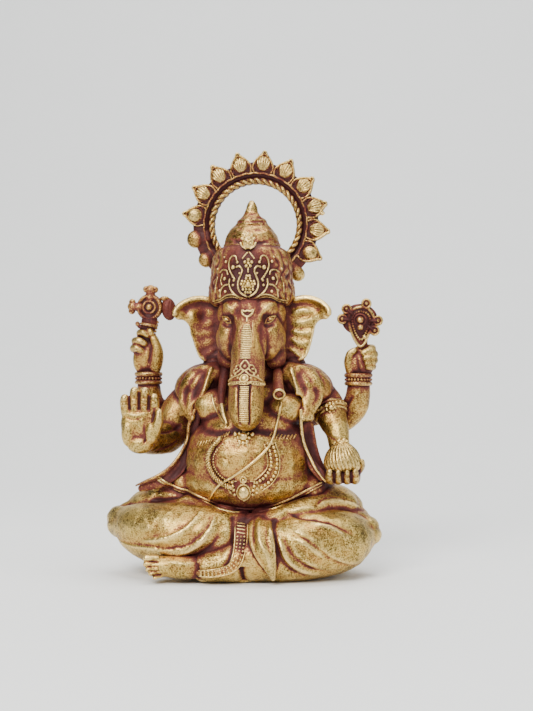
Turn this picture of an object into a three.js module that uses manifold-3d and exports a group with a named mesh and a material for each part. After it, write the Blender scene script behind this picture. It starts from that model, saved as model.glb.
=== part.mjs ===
// A seated four-armed figure with an elephant's head, as its wax model is put together before casting:
// body, limbs, head and ornaments are separate pieces that seat on each other.
// Millimetres, +Z up. The figure faces -Y, its own right hand is at -X, and the origin lies on the
// flat underside of the torso, where the figure stands.
//
// Every piece has a function of one value, skin, which gives its shape grown outwards by that much.
// A piece is cut by the grown shapes of all the pieces set before it, so that neighbours keep GAP.

import * as THREE from "three";
import { mergeVertices } from "three/addons/utils/BufferGeometryUtils.js";
import Module from "manifold-3d";

const wasm = await Module();
wasm.setup();

const GAP = 0.3; // clearance between neighbouring pieces
const CLEAR = GAP + 0.05; // where two shapes are drawn clear of each other, so that no cut grazes them
const RIGHT = -1; // the figure's own right side
const LEFT = 1;

// ---------------------------------------------------------------- driving dimensions

// Torso, from the seat up
const pelvis = { y: 4, z: 13, halfWidth: 24, halfDepth: 18, halfHeight: 17 };
const belly = { x: -1.5, y: -6, rise: 25, halfWidth: 23.5, halfDepth: 21.5, halfHeight: 22 };
const chest = { x: -1, y: -1, rise: 19, halfWidth: 20.5, halfDepth: 15, halfHeight: 15 };
const shoulders = { y: 2, rise: 5, halfWidth: 22, halfDepth: 10.5, halfHeight: 9 };
const back = { y: 6, rise: 27, halfWidth: 20, halfDepth: 14.5, halfHeight: 32 };

// Crossed legs
const kneeReach = { [RIGHT]: 48.5, [LEFT]: 44 };
const kneeRadius = 14.8;
const kneeY = -8;
const shinRadius = 11.5;
const ankle = { x: -13, y: -29.5, z: 4.6, radius: 4.6 };
const footLength = 20;

// Head
const skull = { y: -4, rise: 22, halfWidth: 12.4, halfDepth: 13.5, halfHeight: 14 };
const cheekRadius = 6.4;
const trunkRadius = 6;
const trunkDrop = 37; // from the brow to the lowest point of the curl
const ear = { reach: 14.6, height: 21.6, thickness: 2.4, y: -2 };
const tusk = { radius: 1.7, stubRadius: 2.1, x: 8.6, length: 21, stubLength: 9 };

// Headdress and crown
const headdress = { y: -3, radius: 14.6, height: 17 };
const dome = { radius: 9.8, height: 8 };
const finial = { radius: 5.6, height: 8.4 };

// Halo
const halo = { y: 6, thickness: 4.4, rise: 9.6, inner: 14.2, ropeWidth: 2.4, ringWidth: 1.5, tip: 26.1 };
const petalPitch = THREE.MathUtils.degToRad(22);
const petalCount = 13;
const haloTurn = THREE.MathUtils.degToRad(7.5); // the top petal stands a little to the figure's left

// Arms
const frontArm = { shoulderX: 23, shoulderRadius: 6.4, elbowRadius: 5.4, wristRadius: 3.2 };
const rearArm = { shoulderX: 21, shoulderRadius: 5.4, elbowRadius: 4.2, wristRadius: 3.3 };
const bracelet = { height: 3.2, overlap: 1.1 };
const palm = { halfWidth: 6.6, halfDepth: 3.5, halfHeight: 7.4 };
const fingerRadius = 1.5;
const sweet = { radius: 6.2, height: 9.6 };
const emblemRadius = { [RIGHT]: 4, [LEFT]: 4.6 };
const emblemThickness = 3.4;

// Cloth edges and strings of beads, by the radius of their strand
const waistCordRadius = 0.9;
const necklaceRadius = 1.1;
const threadRadius = 0.7;
const shawlRadius = 2.6;
const sashRadius = 2.4;

// ---------------------------------------------------------------- heights that follow from them

const bellyZ = pelvis.z + belly.rise;
const chestZ = bellyZ + chest.rise;
const shoulderZ = chestZ + shoulders.rise;
const skullZ = shoulderZ + skull.rise;
const browZ = skullZ + 8.7; // lower edge of the headdress, where the skull is cut flat
const headdressTop = browZ + headdress.height;
const domeTop = headdressTop + CLEAR + dome.height;
const haloZ = headdressTop + halo.rise;
const kneeZ = kneeRadius - 0.8; // the underside of a knee is flattened by the table
const lapZ = kneeZ + kneeRadius; // the top of the thighs

// The torso's masses as ellipsoids, used to build it and to lay things on it.
const torsoMasses = [
  { at: [0, pelvis.y, pelvis.z], radii: [pelvis.halfWidth, pelvis.halfDepth, pelvis.halfHeight] },
  { at: [belly.x, belly.y, bellyZ], radii: [belly.halfWidth, belly.halfDepth, belly.halfHeight] },
  { at: [chest.x, chest.y, chestZ], radii: [chest.halfWidth, chest.halfDepth, chest.halfHeight] },
  { at: [0, shoulders.y, shoulderZ], radii: [shoulders.halfWidth, shoulders.halfDepth, shoulders.halfHeight] },
  { at: [0, back.y, pelvis.z + back.rise], radii: [back.halfWidth, back.halfDepth, back.halfHeight] },
];

// How far forward the torso reaches at a place on its front.
function torsoFront(x, z) {
  const reaches = torsoMasses.map(({ at, radii }) => {
    const rest = 1 - ((x - at[0]) / radii[0]) ** 2 - ((z - at[2]) / radii[2]) ** 2;
    return at[1] - radii[1] * Math.sqrt(Math.max(rest, 0));
  });
  return Math.min(...reaches);
}

// A strand's station that lies on the front of the torso.
function onTorso(x, z, radius, lift = 0) {
  return { at: [x, torsoFront(x, z) - radius - GAP - lift, z], r: radius };
}

// ---------------------------------------------------------------- shapes

// A closed three.js geometry as a solid; zero-area triangles at a pole are left out.
function solidOf(geometry) {
  const bare = geometry.clone();
  bare.deleteAttribute("normal");
  bare.deleteAttribute("uv");
  const merged = mergeVertices(bare, 1e-4);
  const corners = [];
  for (let i = 0; i < merged.index.count; i += 3) {
    const [a, b, c] = [0, 1, 2].map((k) => merged.index.getX(i + k));
    if (a !== b && b !== c && c !== a) corners.push(a, b, c);
  }
  return new wasm.Manifold(
    new wasm.Mesh({
      numProp: 3,
      vertProperties: new Float32Array(merged.attributes.position.array),
      triVerts: new Uint32Array(corners),
    }),
  );
}

// An ellipsoid.
function ball(at, radii, skin = 0, across = 12, down = 7) {
  const geometry = new THREE.SphereGeometry(1, across, down);
  geometry.rotateX(Math.PI / 2);
  geometry.scale(...radii.map((r) => r + skin));
  geometry.translate(...at);
  return solidOf(geometry);
}

// A round bar of changing girth through its stations, with domed ends: the rings of a cylinder are
// carried to their places along a smooth line.
function bar(stations, skin = 0, sides = 8, steps = 6) {
  const line = new THREE.CatmullRomCurve3(stations.map((s) => new THREE.Vector3(...s.at)));
  const girth = new THREE.SplineCurve(stations.map((s, i) => new THREE.Vector2(i, s.r)));
  const frames = line.computeFrenetFrames(steps, false);
  const domeRings = [
    { beyond: 0.9, share: 0.44 },
    { beyond: 0.6, share: 0.8 },
  ];
  const rings = [];
  for (let k = 0; k <= steps; k++) {
    const radius = girth.getPoint(line.getUtoTmapping(k / steps)).y + skin;
    rings.push({ centre: line.getPointAt(k / steps), radius, frame: k });
  }
  const domeOf = (ring, way) =>
    domeRings.map(({ beyond, share }) => ({
      centre: ring.centre.clone().addScaledVector(frames.tangents[ring.frame], way * beyond * ring.radius),
      radius: ring.radius * share,
      frame: ring.frame,
    }));
  const all = [...domeOf(rings[0], -1), ...rings, ...domeOf(rings[steps], 1).reverse()];
  const geometry = new THREE.CylinderGeometry(1, 1, 1, sides, all.length - 1);
  const place = geometry.attributes.position;
  for (let i = 0; i < place.count; i++) {
    const ring = all[Math.round((0.5 - place.getY(i)) * (all.length - 1))];
    const point = ring.centre
      .clone()
      .addScaledVector(frames.normals[ring.frame], place.getX(i) * ring.radius)
      .addScaledVector(frames.binormals[ring.frame], place.getZ(i) * ring.radius);
    place.setXYZ(i, point.x, point.y, point.z);
  }
  return solidOf(geometry);
}

// A turned shape about an upright axis through (x, y), from a profile of [radius, z] that runs upwards.
function turned(x, y, profile, skin = 0, segments = 16) {
  const low = profile[0][1];
  const high = profile[profile.length - 1][1];
  const stretch = (high - low + 2 * skin) / (high - low);
  const points = profile.map(
    ([r, z]) => new THREE.Vector2(r > 0 ? r + skin : 0, low - skin + (z - low) * stretch),
  );
  const geometry = new THREE.LatheGeometry(points, segments);
  geometry.rotateX(Math.PI / 2);
  geometry.translate(x, y, 0);
  return solidOf(geometry);
}

// A flat outline in X and Z, given thickness from y - thickness / 2 to y + thickness / 2.
function plate(shape, y, thickness, skin = 0, curveSegments = 10) {
  const geometry = new THREE.ExtrudeGeometry(shape, {
    depth: thickness + 2 * skin,
    bevelEnabled: skin > 0,
    bevelThickness: 0,
    bevelSize: skin,
    bevelSegments: 1,
    curveSegments,
  });
  geometry.rotateX(Math.PI / 2);
  geometry.translate(0, y + thickness / 2 + skin, 0);
  return solidOf(geometry);
}

function union(...solids) {
  return solids.reduce((a, b) => a.add(b));
}

// A block that takes away all that lies above or below a height.
function slab(low, high) {
  const geometry = new THREE.BoxGeometry(400, 400, high - low);
  geometry.translate(0, 0, (low + high) / 2);
  return solidOf(geometry);
}

const belowTable = slab(-100, 0);

// ---------------------------------------------------------------- assembly

const figure = new THREE.Group();
figure.name = "seated_figure";
const finish = {
  body: new THREE.MeshStandardMaterial({ color: 0xb8924a, roughness: 0.42, metalness: 0.85 }),
  ornament: new THREE.MeshStandardMaterial({ color: 0xc9a659, roughness: 0.38, metalness: 0.9 }),
  cloth: new THREE.MeshStandardMaterial({ color: 0xae8641, roughness: 0.46, metalness: 0.8 }),
};
const set = []; // the pieces set so far, each grown by GAP

function boxesMeet(a, b) {
  return [0, 1, 2].every((k) => a.min[k] < b.max[k] && b.min[k] < a.max[k]);
}

function seatPiece(name, material, shape) {
  let solid = shape(0).subtract(belowTable);
  for (const other of set)
    if (boxesMeet(solid.boundingBox(), other.boundingBox())) solid = solid.subtract(other);
  set.push(shape(GAP));
  const mesh = solid.getMesh();
  const geometry = new THREE.BufferGeometry();
  geometry.setAttribute("position", new THREE.BufferAttribute(new Float32Array(mesh.vertProperties), 3));
  geometry.setIndex(new THREE.BufferAttribute(mesh.triVerts, 1));
  geometry.computeVertexNormals();
  const piece = new THREE.Mesh(geometry, material);
  piece.name = name;
  figure.add(piece);
}

const sideName = { [RIGHT]: "right", [LEFT]: "left" };

// ---------------------------------------------------------------- torso and legs

function torso(skin) {
  return union(...torsoMasses.map(({ at, radii }) => ball(at, radii, skin, 14, 8)));
}

function kneeX(side) {
  return side * (kneeReach[side] - kneeRadius);
}

// The left leg's shin crosses in front and ends at the ankle.
function leftLeg(skin) {
  const knee = { at: [kneeX(LEFT), kneeY, kneeZ], r: kneeRadius };
  const thigh = bar([{ at: [12, 7, kneeZ], r: 13.5 }, { at: [20, 0, kneeZ], r: kneeRadius }, knee], skin, 10, 3);
  const shin = bar(
    [
      knee,
      { at: [17, -18, kneeZ - 3], r: shinRadius },
      { at: [2, -24.5, 8], r: shinRadius * 0.7 },
      { at: [ankle.x, ankle.y, ankle.z], r: ankle.radius },
    ],
    skin,
    10,
    6,
  );
  return union(thigh, shin);
}

function rightLeg(skin) {
  const knee = { at: [kneeX(RIGHT), kneeY, kneeZ], r: kneeRadius };
  const thigh = bar([{ at: [-12, 7, kneeZ], r: 13.5 }, { at: [-22, 0, kneeZ], r: kneeRadius }, knee], skin, 10, 3);
  const shin = bar(
    [knee, { at: [-21, -17.5, kneeZ - 1.5], r: shinRadius * 1.05 }, { at: [-6, -20.5, kneeZ - 3], r: shinRadius * 0.8 }],
    skin,
    10,
    4,
  );
  return union(thigh, shin);
}

function leftFoot(skin) {
  const toeX = ankle.x - footLength;
  const sole = bar(
    [
      { at: [ankle.x - 3, ankle.y - 0.7, ankle.z - 0.4], r: ankle.radius - 0.6 },
      { at: [ankle.x - footLength / 2, ankle.y - 1.8, ankle.z - 0.6], r: ankle.radius - 0.8 },
      { at: [toeX + 3.2, ankle.y - 2.2, ankle.z - 0.8], r: ankle.radius - 1.3 },
    ],
    skin,
  );
  return union(sole, ball([toeX + 1.8, ankle.y - 2.4, ankle.z - 0.8], [2.6, 2.6, 3.8], skin, 8, 6));
}

seatPiece("torso", finish.body, torso);
seatPiece("left_leg", finish.cloth, leftLeg);
seatPiece("right_leg", finish.cloth, rightLeg);
seatPiece("left_foot", finish.body, leftFoot);

// ---------------------------------------------------------------- head

function head(skin) {
  const z = skullZ;
  const masses = union(
    ball([0, skull.y, z], [skull.halfWidth, skull.halfDepth, skull.halfHeight], skin, 12, 8),
    ball([-6.4, skull.y - 6, z - 7.5], [cheekRadius, cheekRadius + 0.6, cheekRadius + 2], skin),
    ball([6.4, skull.y - 6, z - 7.5], [cheekRadius, cheekRadius + 0.6, cheekRadius + 2], skin),
    ball([0, skull.y, z - 14], [9.5, 9.5, 7], skin),
  );
  return masses.subtract(slab(browZ - CLEAR + skin, browZ + 100));
}

const trunkFoot = browZ - 7 - trunkDrop; // the lowest point of the curl
function trunkStations() {
  const y = skull.y - skull.halfDepth;
  const r = trunkRadius;
  return [
    { at: [0, y + 5, browZ - 7], r: r * 0.75 },
    { at: [0, y - 1.5, browZ - 15], r: r * 0.95 },
    { at: [0, y - 6.5, browZ - 25], r: r * 1.04 },
    { at: [0, y - 10.5, trunkFoot + 9], r: r * 0.96 },
    { at: [0, y - 9.5, trunkFoot + 5.2], r: r * 0.86 },
    { at: [0, y - 6.8, trunkFoot + 4.8], r: r * 0.7 },
  ];
}

function trunk(skin) {
  return bar(trunkStations(), skin, 10, 8);
}

// A short sleeve round the trunk, as the band of its ornament.
function trunkBand(skin) {
  const [, , upper, lower] = trunkStations();
  const sleeve = (share) => ({
    at: upper.at.map((v, k) => v + (lower.at[k] - v) * share),
    r: trunkRadius + 0.9,
  });
  return bar([sleeve(0.02), sleeve(0.2)], skin, 10, 1).subtract(slab(browZ - 22 + skin, browZ + 50));
}

seatPiece("head", finish.body, head);
seatPiece("trunk", finish.body, trunk);
seatPiece("trunk_band", finish.ornament, trunkBand);

// The ear's outline, from its root on the head out to the folded tip and down to the lobe.
function earOutline(side) {
  const root = skull.halfWidth - 1;
  const top = browZ - 0.2;
  const reach = ear.reach;
  const drop = ear.height;
  const at = (out, down) => [side * (root + out * reach), top - down * drop];
  const shape = new THREE.Shape();
  shape.moveTo(...at(0, 0.06));
  shape.quadraticCurveTo(...at(0.55, -0.06), ...at(0.86, 0.1));
  shape.quadraticCurveTo(...at(1.02, 0.2), ...at(1, 0.3));
  shape.lineTo(...at(0.9, 0.34));
  shape.quadraticCurveTo(...at(0.62, 0.4), ...at(0.56, 0.62));
  shape.quadraticCurveTo(...at(0.48, 0.9), ...at(0.24, 1));
  shape.lineTo(...at(0, 0.92));
  shape.closePath();
  return shape;
}

for (const side of [RIGHT, LEFT])
  seatPiece(`${sideName[side]}_ear`, finish.body, (skin) =>
    plate(earOutline(side), ear.y, ear.thickness, skin, 4),
  );

// The right tusk is whole and the left one is broken off short.
seatPiece("right_tusk", finish.body, (skin) =>
  bar(
    [
      { at: [-tusk.x, skull.y - 8, skullZ - 14], r: tusk.radius },
      { at: [-tusk.x - 0.8, skull.y - 14, skullZ - 24], r: tusk.radius * 0.9 },
      { at: [-tusk.x + 0.6, skull.y - 19, skullZ - 14 - tusk.length + 1.4], r: tusk.radius * 0.5 },
    ],
    skin,
    6,
    4,
  ),
);
seatPiece("left_tusk_stub", finish.body, (skin) =>
  bar(
    [
      { at: [tusk.x, skull.y - 8, skullZ - 15], r: tusk.stubRadius },
      { at: [tusk.x + 1.2, skull.y - 14.5, skullZ - 15 - tusk.stubLength], r: tusk.stubRadius },
    ],
    skin,
    8,
    2,
  ),
);

// ---------------------------------------------------------------- headdress and crown

seatPiece("headdress", finish.ornament, (skin) => {
  const { y, radius, height } = headdress;
  return turned(
    0,
    y,
    [
      [0, browZ],
      [radius - 0.7, browZ],
      [radius, browZ + height * 0.15],
      [radius - 0.6, browZ + height * 0.5],
      [radius - 1.3, browZ + height * 0.8],
      [radius - 2.8, browZ + height * 0.94],
      [radius - 4.4, browZ + height],
      [0, browZ + height],
    ],
    skin,
    20,
  );
});

seatPiece("crown_dome", finish.ornament, (skin) => {
  const low = headdressTop + CLEAR;
  const { radius, height } = dome;
  return turned(
    0,
    headdress.y,
    [
      [0, low],
      [radius, low],
      [radius, low + height * 0.15],
      [radius * 0.86, low + height * 0.6],
      [radius * 0.62, low + height],
      [0, low + height],
    ],
    skin,
  );
});

seatPiece("crown_finial", finish.ornament, (skin) => {
  const low = domeTop + CLEAR;
  const { radius, height } = finial;
  return turned(
    0,
    headdress.y,
    [
      [0, low],
      [radius, low],
      [radius * 0.92, low + height * 0.2],
      [radius * 0.5, low + height * 0.4],
      [radius * 0.38, low + height * 0.6],
      [radius * 0.16, low + height * 0.92],
      [0, low + height],
    ],
    skin,
    16,
  );
});

seatPiece("tiara_plate", finish.ornament, (skin) =>
  ball(
    [0, headdress.y - headdress.radius + 0.6, browZ + headdress.height * 0.45],
    [10, 2.6, headdress.height * 0.52],
    skin,
    14,
    8,
  ),
);
seatPiece("tiara_palmette", finish.ornament, (skin) =>
  ball([0, headdress.y - headdress.radius + 4.4, headdressTop + 1.2], [3.1, 2.6, 3.8], skin, 8, 6),
);

// ---------------------------------------------------------------- halo

// A point of the halo's face, by its radius and its angle from the top, clockwise as seen from the front.
function haloPoint(radius, angle) {
  return [radius * Math.sin(angle), haloZ + radius * Math.cos(angle)];
}

const haloEnd = THREE.MathUtils.degToRad(152); // the band's ends lie inside the headdress

function haloBand(inner, outer, thickness, skin) {
  const start = Math.PI / 2 - haloEnd;
  const end = Math.PI / 2 + haloEnd;
  const shape = new THREE.Shape();
  shape.absarc(0, haloZ, outer, start, end, false);
  shape.absarc(0, haloZ, inner, end, start, true);
  shape.closePath();
  return plate(shape, halo.y, thickness, skin, 18);
}

const ropeOuter = halo.inner + halo.ropeWidth;
const ringInner = ropeOuter + CLEAR;
const ringOuter = ringInner + halo.ringWidth;

seatPiece("halo_rope", finish.ornament, (skin) => haloBand(halo.inner, ropeOuter, halo.thickness - 0.8, skin));
seatPiece("halo_ring", finish.ornament, (skin) => haloBand(ringInner, ringOuter, halo.thickness, skin));

// A pointed leaf that stands on the ring.
function petal(angle) {
  const base = ringOuter + CLEAR;
  const half = petalPitch / 2 - CLEAR / 2 / base;
  const height = halo.tip - base;
  const shape = new THREE.Shape();
  shape.moveTo(...haloPoint(base, angle - half));
  shape.lineTo(...haloPoint(base + height * 0.4, angle - half));
  shape.quadraticCurveTo(
    ...haloPoint(base + height * 0.75, angle - half * 0.75),
    ...haloPoint(base + height, angle),
  );
  shape.quadraticCurveTo(
    ...haloPoint(base + height * 0.75, angle + half * 0.75),
    ...haloPoint(base + height * 0.4, angle + half),
  );
  shape.lineTo(...haloPoint(base, angle + half));
  shape.quadraticCurveTo(...haloPoint(base / Math.cos(half), angle), ...haloPoint(base, angle - half));
  return shape;
}

for (let k = 0; k < petalCount; k++) {
  const angle = haloTurn + (k - (petalCount - 1) / 2) * petalPitch;
  const name = `halo_petal_${String(k + 1).padStart(2, "0")}`;
  seatPiece(name, finish.ornament, (skin) => plate(petal(angle), halo.y, halo.thickness - 1, skin, 2));
}

// ---------------------------------------------------------------- front arms

const wristDrop = 17.5; // from the shoulder down to the lifted hand's wrist
seatPiece("right_upper_arm", finish.body, (skin) =>
  bar(
    [
      { at: [-frontArm.shoulderX + 3, 2, shoulderZ - 1], r: frontArm.shoulderRadius },
      { at: [-frontArm.shoulderX - 3.4, 0.5, shoulderZ - 8], r: frontArm.shoulderRadius },
      { at: [-frontArm.shoulderX - 5.4, -2, shoulderZ - 16], r: frontArm.elbowRadius },
    ],
    skin,
    10,
    4,
  ),
);
seatPiece("right_forearm", finish.body, (skin) =>
  bar(
    [
      { at: [-frontArm.shoulderX - 6.4, -6, shoulderZ - 16.5], r: frontArm.elbowRadius },
      { at: [-frontArm.shoulderX - 12, -16.5, shoulderZ - wristDrop], r: frontArm.elbowRadius - 0.8 },
    ],
    skin,
    10,
    3,
  ),
);

// The lifted palm with four fingers and a thumb.
function liftedHand(skin) {
  const [x, y, z] = [-frontArm.shoulderX - 12.8, -21, shoulderZ - 12];
  const top = z + palm.halfHeight - 3;
  const fingers = [-4.6, -1.6, 1.5, 4.5].map((dx, k) =>
    bar(
      [
        { at: [x + dx, y, top], r: fingerRadius },
        { at: [x + dx * 0.96, y - 0.6, top + [6.2, 8, 7.6, 5.6][k]], r: fingerRadius * 0.86 },
      ],
      skin,
      6,
      1,
    ),
  );
  const thumb = bar(
    [
      { at: [x + palm.halfWidth - 2, y, z - 3], r: fingerRadius + 0.5 },
      { at: [x + palm.halfWidth - 0.2, y - 2, z + 4.6], r: fingerRadius },
    ],
    skin,
    6,
    1,
  );
  return union(ball([x, y, z], [palm.halfWidth, palm.halfDepth, palm.halfHeight], skin), thumb, ...fingers);
}
seatPiece("right_hand", finish.body, liftedHand);

seatPiece("left_upper_arm", finish.body, (skin) =>
  bar(
    [
      { at: [frontArm.shoulderX - 3, 2, shoulderZ - 1], r: frontArm.shoulderRadius },
      { at: [frontArm.shoulderX + 1.6, 0.4, shoulderZ - 4.6], r: frontArm.shoulderRadius - 0.6 },
    ],
    skin,
    10,
    2,
  ),
);
seatPiece("left_armband", finish.ornament, (skin) =>
  bar(
    [
      { at: [frontArm.shoulderX + 2.6, -1, shoulderZ - 7], r: frontArm.shoulderRadius - 0.4 },
      { at: [frontArm.shoulderX + 3.3, -1.8, shoulderZ - 9], r: frontArm.shoulderRadius - 0.7 },
    ],
    skin,
    10,
    1,
  ),
);
const sweetAt = { x: frontArm.shoulderX + 7.8, y: -17, z: shoulderZ - 26.5 };
seatPiece("left_forearm", finish.body, (skin) =>
  bar(
    [
      { at: [frontArm.shoulderX + 4.4, -3, shoulderZ - 11], r: frontArm.elbowRadius - 0.8 },
      { at: [frontArm.shoulderX + 6, -6, shoulderZ - 15], r: frontArm.elbowRadius - 1.4 },
      { at: [frontArm.shoulderX + 6.6, -8.6, shoulderZ - 21], r: frontArm.wristRadius },
      { at: [frontArm.shoulderX + 7.2, -9.6, shoulderZ - 25], r: frontArm.wristRadius },
    ],
    skin,
    10,
    5,
  ),
);
seatPiece("sweet", finish.ornament, (skin) => {
  const { x, y, z } = sweetAt;
  const { radius, height } = sweet;
  return turned(
    x,
    y,
    [
      [0, z],
      [radius * 0.72, z],
      [radius, z + height * 0.25],
      [radius * 0.86, z + height * 0.6],
      [radius * 0.4, z + height * 0.88],
      [0, z + height],
    ],
    skin,
    12,
  );
});
seatPiece("left_hand", finish.body, (skin) =>
  union(
    ball([sweetAt.x, sweetAt.y + 1, sweetAt.z - 1], [sweet.radius, sweet.radius + 1, 3.6], skin),
    bar(
      [
        { at: [sweetAt.x, sweetAt.y + 2, sweetAt.z - 1], r: 3.2 },
        { at: [sweetAt.x - 0.6, sweetAt.y + 7.4, sweetAt.z + 0.6], r: 3.4 },
      ],
      skin,
      8,
      2,
    ),
  ),
);

// ---------------------------------------------------------------- rear arms

// Where each rear wrist, fist and emblem stands, measured from the shoulders' height.
const rearPose = {
  [RIGHT]: { wristX: 37, wristZ: 2, fistX: 38, fist: [4.9, 4.2, 6.6], emblemX: 36.2, emblemZ: 28.3 },
  [LEFT]: { wristX: 35.8, wristZ: 1.6, fistX: 37.2, fist: [4.6, 4.2, 4.9], emblemX: 36.8, emblemZ: 23.4 },
};

function rearHeights(side) {
  const pose = rearPose[side];
  const wrist = shoulderZ + pose.wristZ;
  const cuffTop = wrist + bracelet.height;
  return { wrist, cuffTop, fist: cuffTop + pose.fist[2] - 1.3, emblem: shoulderZ + pose.emblemZ };
}

for (const side of [RIGHT, LEFT]) {
  const label = `rear_${sideName[side]}`;
  const pose = rearPose[side];
  const heights = rearHeights(side);

  seatPiece(`${label}_arm`, finish.body, (skin) =>
    bar(
      [
        { at: [side * rearArm.shoulderX, 7.5, shoulderZ - 2], r: rearArm.shoulderRadius },
        { at: [side * (pose.wristX - 6), 6.5, shoulderZ - 11], r: rearArm.elbowRadius },
        { at: [side * (pose.wristX - 1.2), 3.4, shoulderZ - 7], r: rearArm.elbowRadius },
        { at: [side * pose.wristX, 1.6, heights.wrist - 1.4], r: rearArm.wristRadius },
      ],
      skin,
      10,
      7,
    ).subtract(slab(heights.wrist - CLEAR + skin, heights.wrist + 60)),
  );

  const cuffRadius = rearArm.wristRadius + bracelet.overlap;
  seatPiece(`${label}_bracelet`, finish.ornament, (skin) =>
    turned(
      side * pose.wristX,
      1.4,
      [
        [0, heights.wrist],
        [cuffRadius - 0.5, heights.wrist],
        [cuffRadius, heights.wrist + bracelet.height / 2],
        [cuffRadius - 0.5, heights.cuffTop],
        [0, heights.cuffTop],
      ],
      skin,
      12,
    ),
  );

  seatPiece(`${label}_fist`, finish.body, (skin) =>
    ball([side * pose.fistX, 0.6, heights.fist], pose.fist, skin, 10, 7),
  );

  // A round boss with four knobs on a short stem that the fist holds.
  seatPiece(`${label}_emblem`, finish.ornament, (skin) => {
    const x = side * pose.emblemX;
    const z = heights.emblem;
    const radius = emblemRadius[side];
    const boss = ball([x, -0.6, z], [radius, emblemThickness / 2 + 0.4, radius], skin, 10, 6);
    const knobs = [0, 1, 2, 3].map((k) => {
      const angle = (k * Math.PI) / 2 + 0.12;
      const reach = radius + 1.2;
      return ball([x + reach * Math.sin(angle), -0.4, z + reach * Math.cos(angle)], [1.7, 1.7, 1.7], skin, 6, 4);
    });
    const stemFoot = heights.fist + pose.fist[2] * 0.5;
    const stem = bar(
      [
        { at: [side * (pose.fistX - 0.6), 0, stemFoot], r: 1.7 },
        { at: [x, -0.4, z - radius], r: 1.8 },
      ],
      skin,
      6,
      1,
    );
    return union(boss, stem, ...knobs);
  });
}

// ---------------------------------------------------------------- cloth and jewellery

for (const side of [RIGHT, LEFT])
  seatPiece(`${sideName[side]}_cape`, finish.cloth, (skin) =>
    ball([side * (shoulders.halfWidth - 3), -0.5, shoulderZ + 2.2], [10, 12.5, 8.4], skin, 10, 6),
  );

// The free front edge of the shawl, from the neck down to the lap: shares of the chest's half width and
// of the way down.
for (const side of [RIGHT, LEFT]) {
  const edge = [
    [0.6, -0.02],
    [0.72, 0.14],
    [0.88, 0.36],
    [0.94, 0.6],
    [0.99, 0.84],
    [1.06, 1],
  ];
  seatPiece(`${sideName[side]}_shawl_edge`, finish.cloth, (skin) =>
    bar(
      edge.map(([share, down]) => {
        const x = belly.x * 0.6 + side * share * chest.halfWidth;
        const z = shoulderZ - down * (shoulderZ - lapZ);
        return { at: [x, torsoFront(x, z) - 0.6, z], r: shawlRadius };
      }),
      skin,
      8,
      7,
    ),
  );
}

// The cord lies under the belly and rises towards the hips.
function waistCordAt(share) {
  const x = belly.x + share * belly.halfWidth * 0.86;
  const z = bellyZ - belly.halfHeight * 0.71 + 8 * share * share;
  return onTorso(x, z, waistCordRadius);
}

seatPiece("waist_cord", finish.ornament, (skin) => {
  const stations = [-1, -0.75, -0.5, -0.25, 0, 0.25, 0.5, 0.75, 1].map(waistCordAt);
  return bar(stations, skin, 5, 12);
});

// Both sashes start in front of the cord and hang over the shins.
function sashStart(x) {
  const cord = waistCordAt(0).at;
  return { at: [x, cord[1] - waistCordRadius - sashRadius - 0.2, cord[2] - 2.4], r: sashRadius };
}

seatPiece("plain_sash", finish.cloth, (skin) =>
  bar(
    [
      sashStart(4),
      { at: [4.4, -31, 12], r: sashRadius * 1.5 },
      { at: [7.4, -32, 5.6], r: sashRadius },
      { at: [8.2, -31.6, 2], r: sashRadius * 0.6 },
    ],
    skin,
    8,
    6,
  ),
);
seatPiece("ornate_sash", finish.ornament, (skin) =>
  bar(
    [
      sashStart(-3.6),
      { at: [-3.4, -29.6, 14.5], r: sashRadius },
      { at: [-4.4, -32.6, 9], r: sashRadius },
      { at: [-7.6, -33.4, 5], r: sashRadius },
      { at: [-13, -33.4, 4], r: sashRadius * 0.8 },
    ],
    skin,
    8,
    7,
  ),
);

// The garland hangs in a loop on the belly, below the trunk's curl.
const garland = { x: -0.9, halfWidth: 9.8, top: trunkFoot - 1.4, drop: 15.5 };
seatPiece("necklace", finish.ornament, (skin) => {
  const stations = [-130, -100, -65, -30, 0, 30, 65, 100, 130].map((degrees) => {
    const angle = THREE.MathUtils.degToRad(degrees);
    const middle = garland.top - garland.drop / 2;
    const x = garland.x + garland.halfWidth * Math.sin(angle);
    return onTorso(x, middle - (garland.drop / 2) * Math.cos(angle), necklaceRadius);
  });
  return bar(stations, skin, 5, 14);
});
seatPiece("pendant", finish.ornament, (skin) => {
  const z = garland.top - garland.drop - 2.9;
  return ball([garland.x, torsoFront(garland.x, z) - 0.6, z], [4.6, 2.2, 3.6], skin, 8, 6);
});
seatPiece("breast_jewel", finish.ornament, (skin) => {
  const z = garland.top - 1.4;
  return ball([garland.x, torsoFront(garland.x, z) - 0.6, z], [2.6, 2, 2.2], skin, 8, 6);
});

// The thread runs from under the broken tusk over the garland to the waist cord.
seatPiece("sacred_thread", finish.ornament, (skin) => {
  const lift = 2 * necklaceRadius + GAP; // it lies on the garland where the two cross
  return bar(
    [
      onTorso(10.6, shoulderZ - 5.4, threadRadius),
      onTorso(9.6, shoulderZ - 11, threadRadius, 0.2),
      onTorso(8.2, shoulderZ - 17, threadRadius, lift),
      onTorso(5.4, shoulderZ - 22, threadRadius, lift * 0.8),
      onTorso(-1, shoulderZ - 28, threadRadius, lift * 0.8),
      onTorso(-5.4, shoulderZ - 32, threadRadius, lift),
      onTorso(-8.6, shoulderZ - 35.6, threadRadius, 0.6),
    ],
    skin,
    5,
    12,
  );
});

export default figure;
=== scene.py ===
"""The looks of a small seated brass figure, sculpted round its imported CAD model.

All shaping is done in millimetres, in the CAD frame: the figure faces -Y, its own right hand is at -X
and it stands on z = 0. A finished piece is brought to metres once, in cast().
"""

import functools
import math

import bmesh
import bpy
import numpy as np
from mathutils import Matrix, Vector, noise
from mathutils.bvhtree import BVHTree


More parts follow.
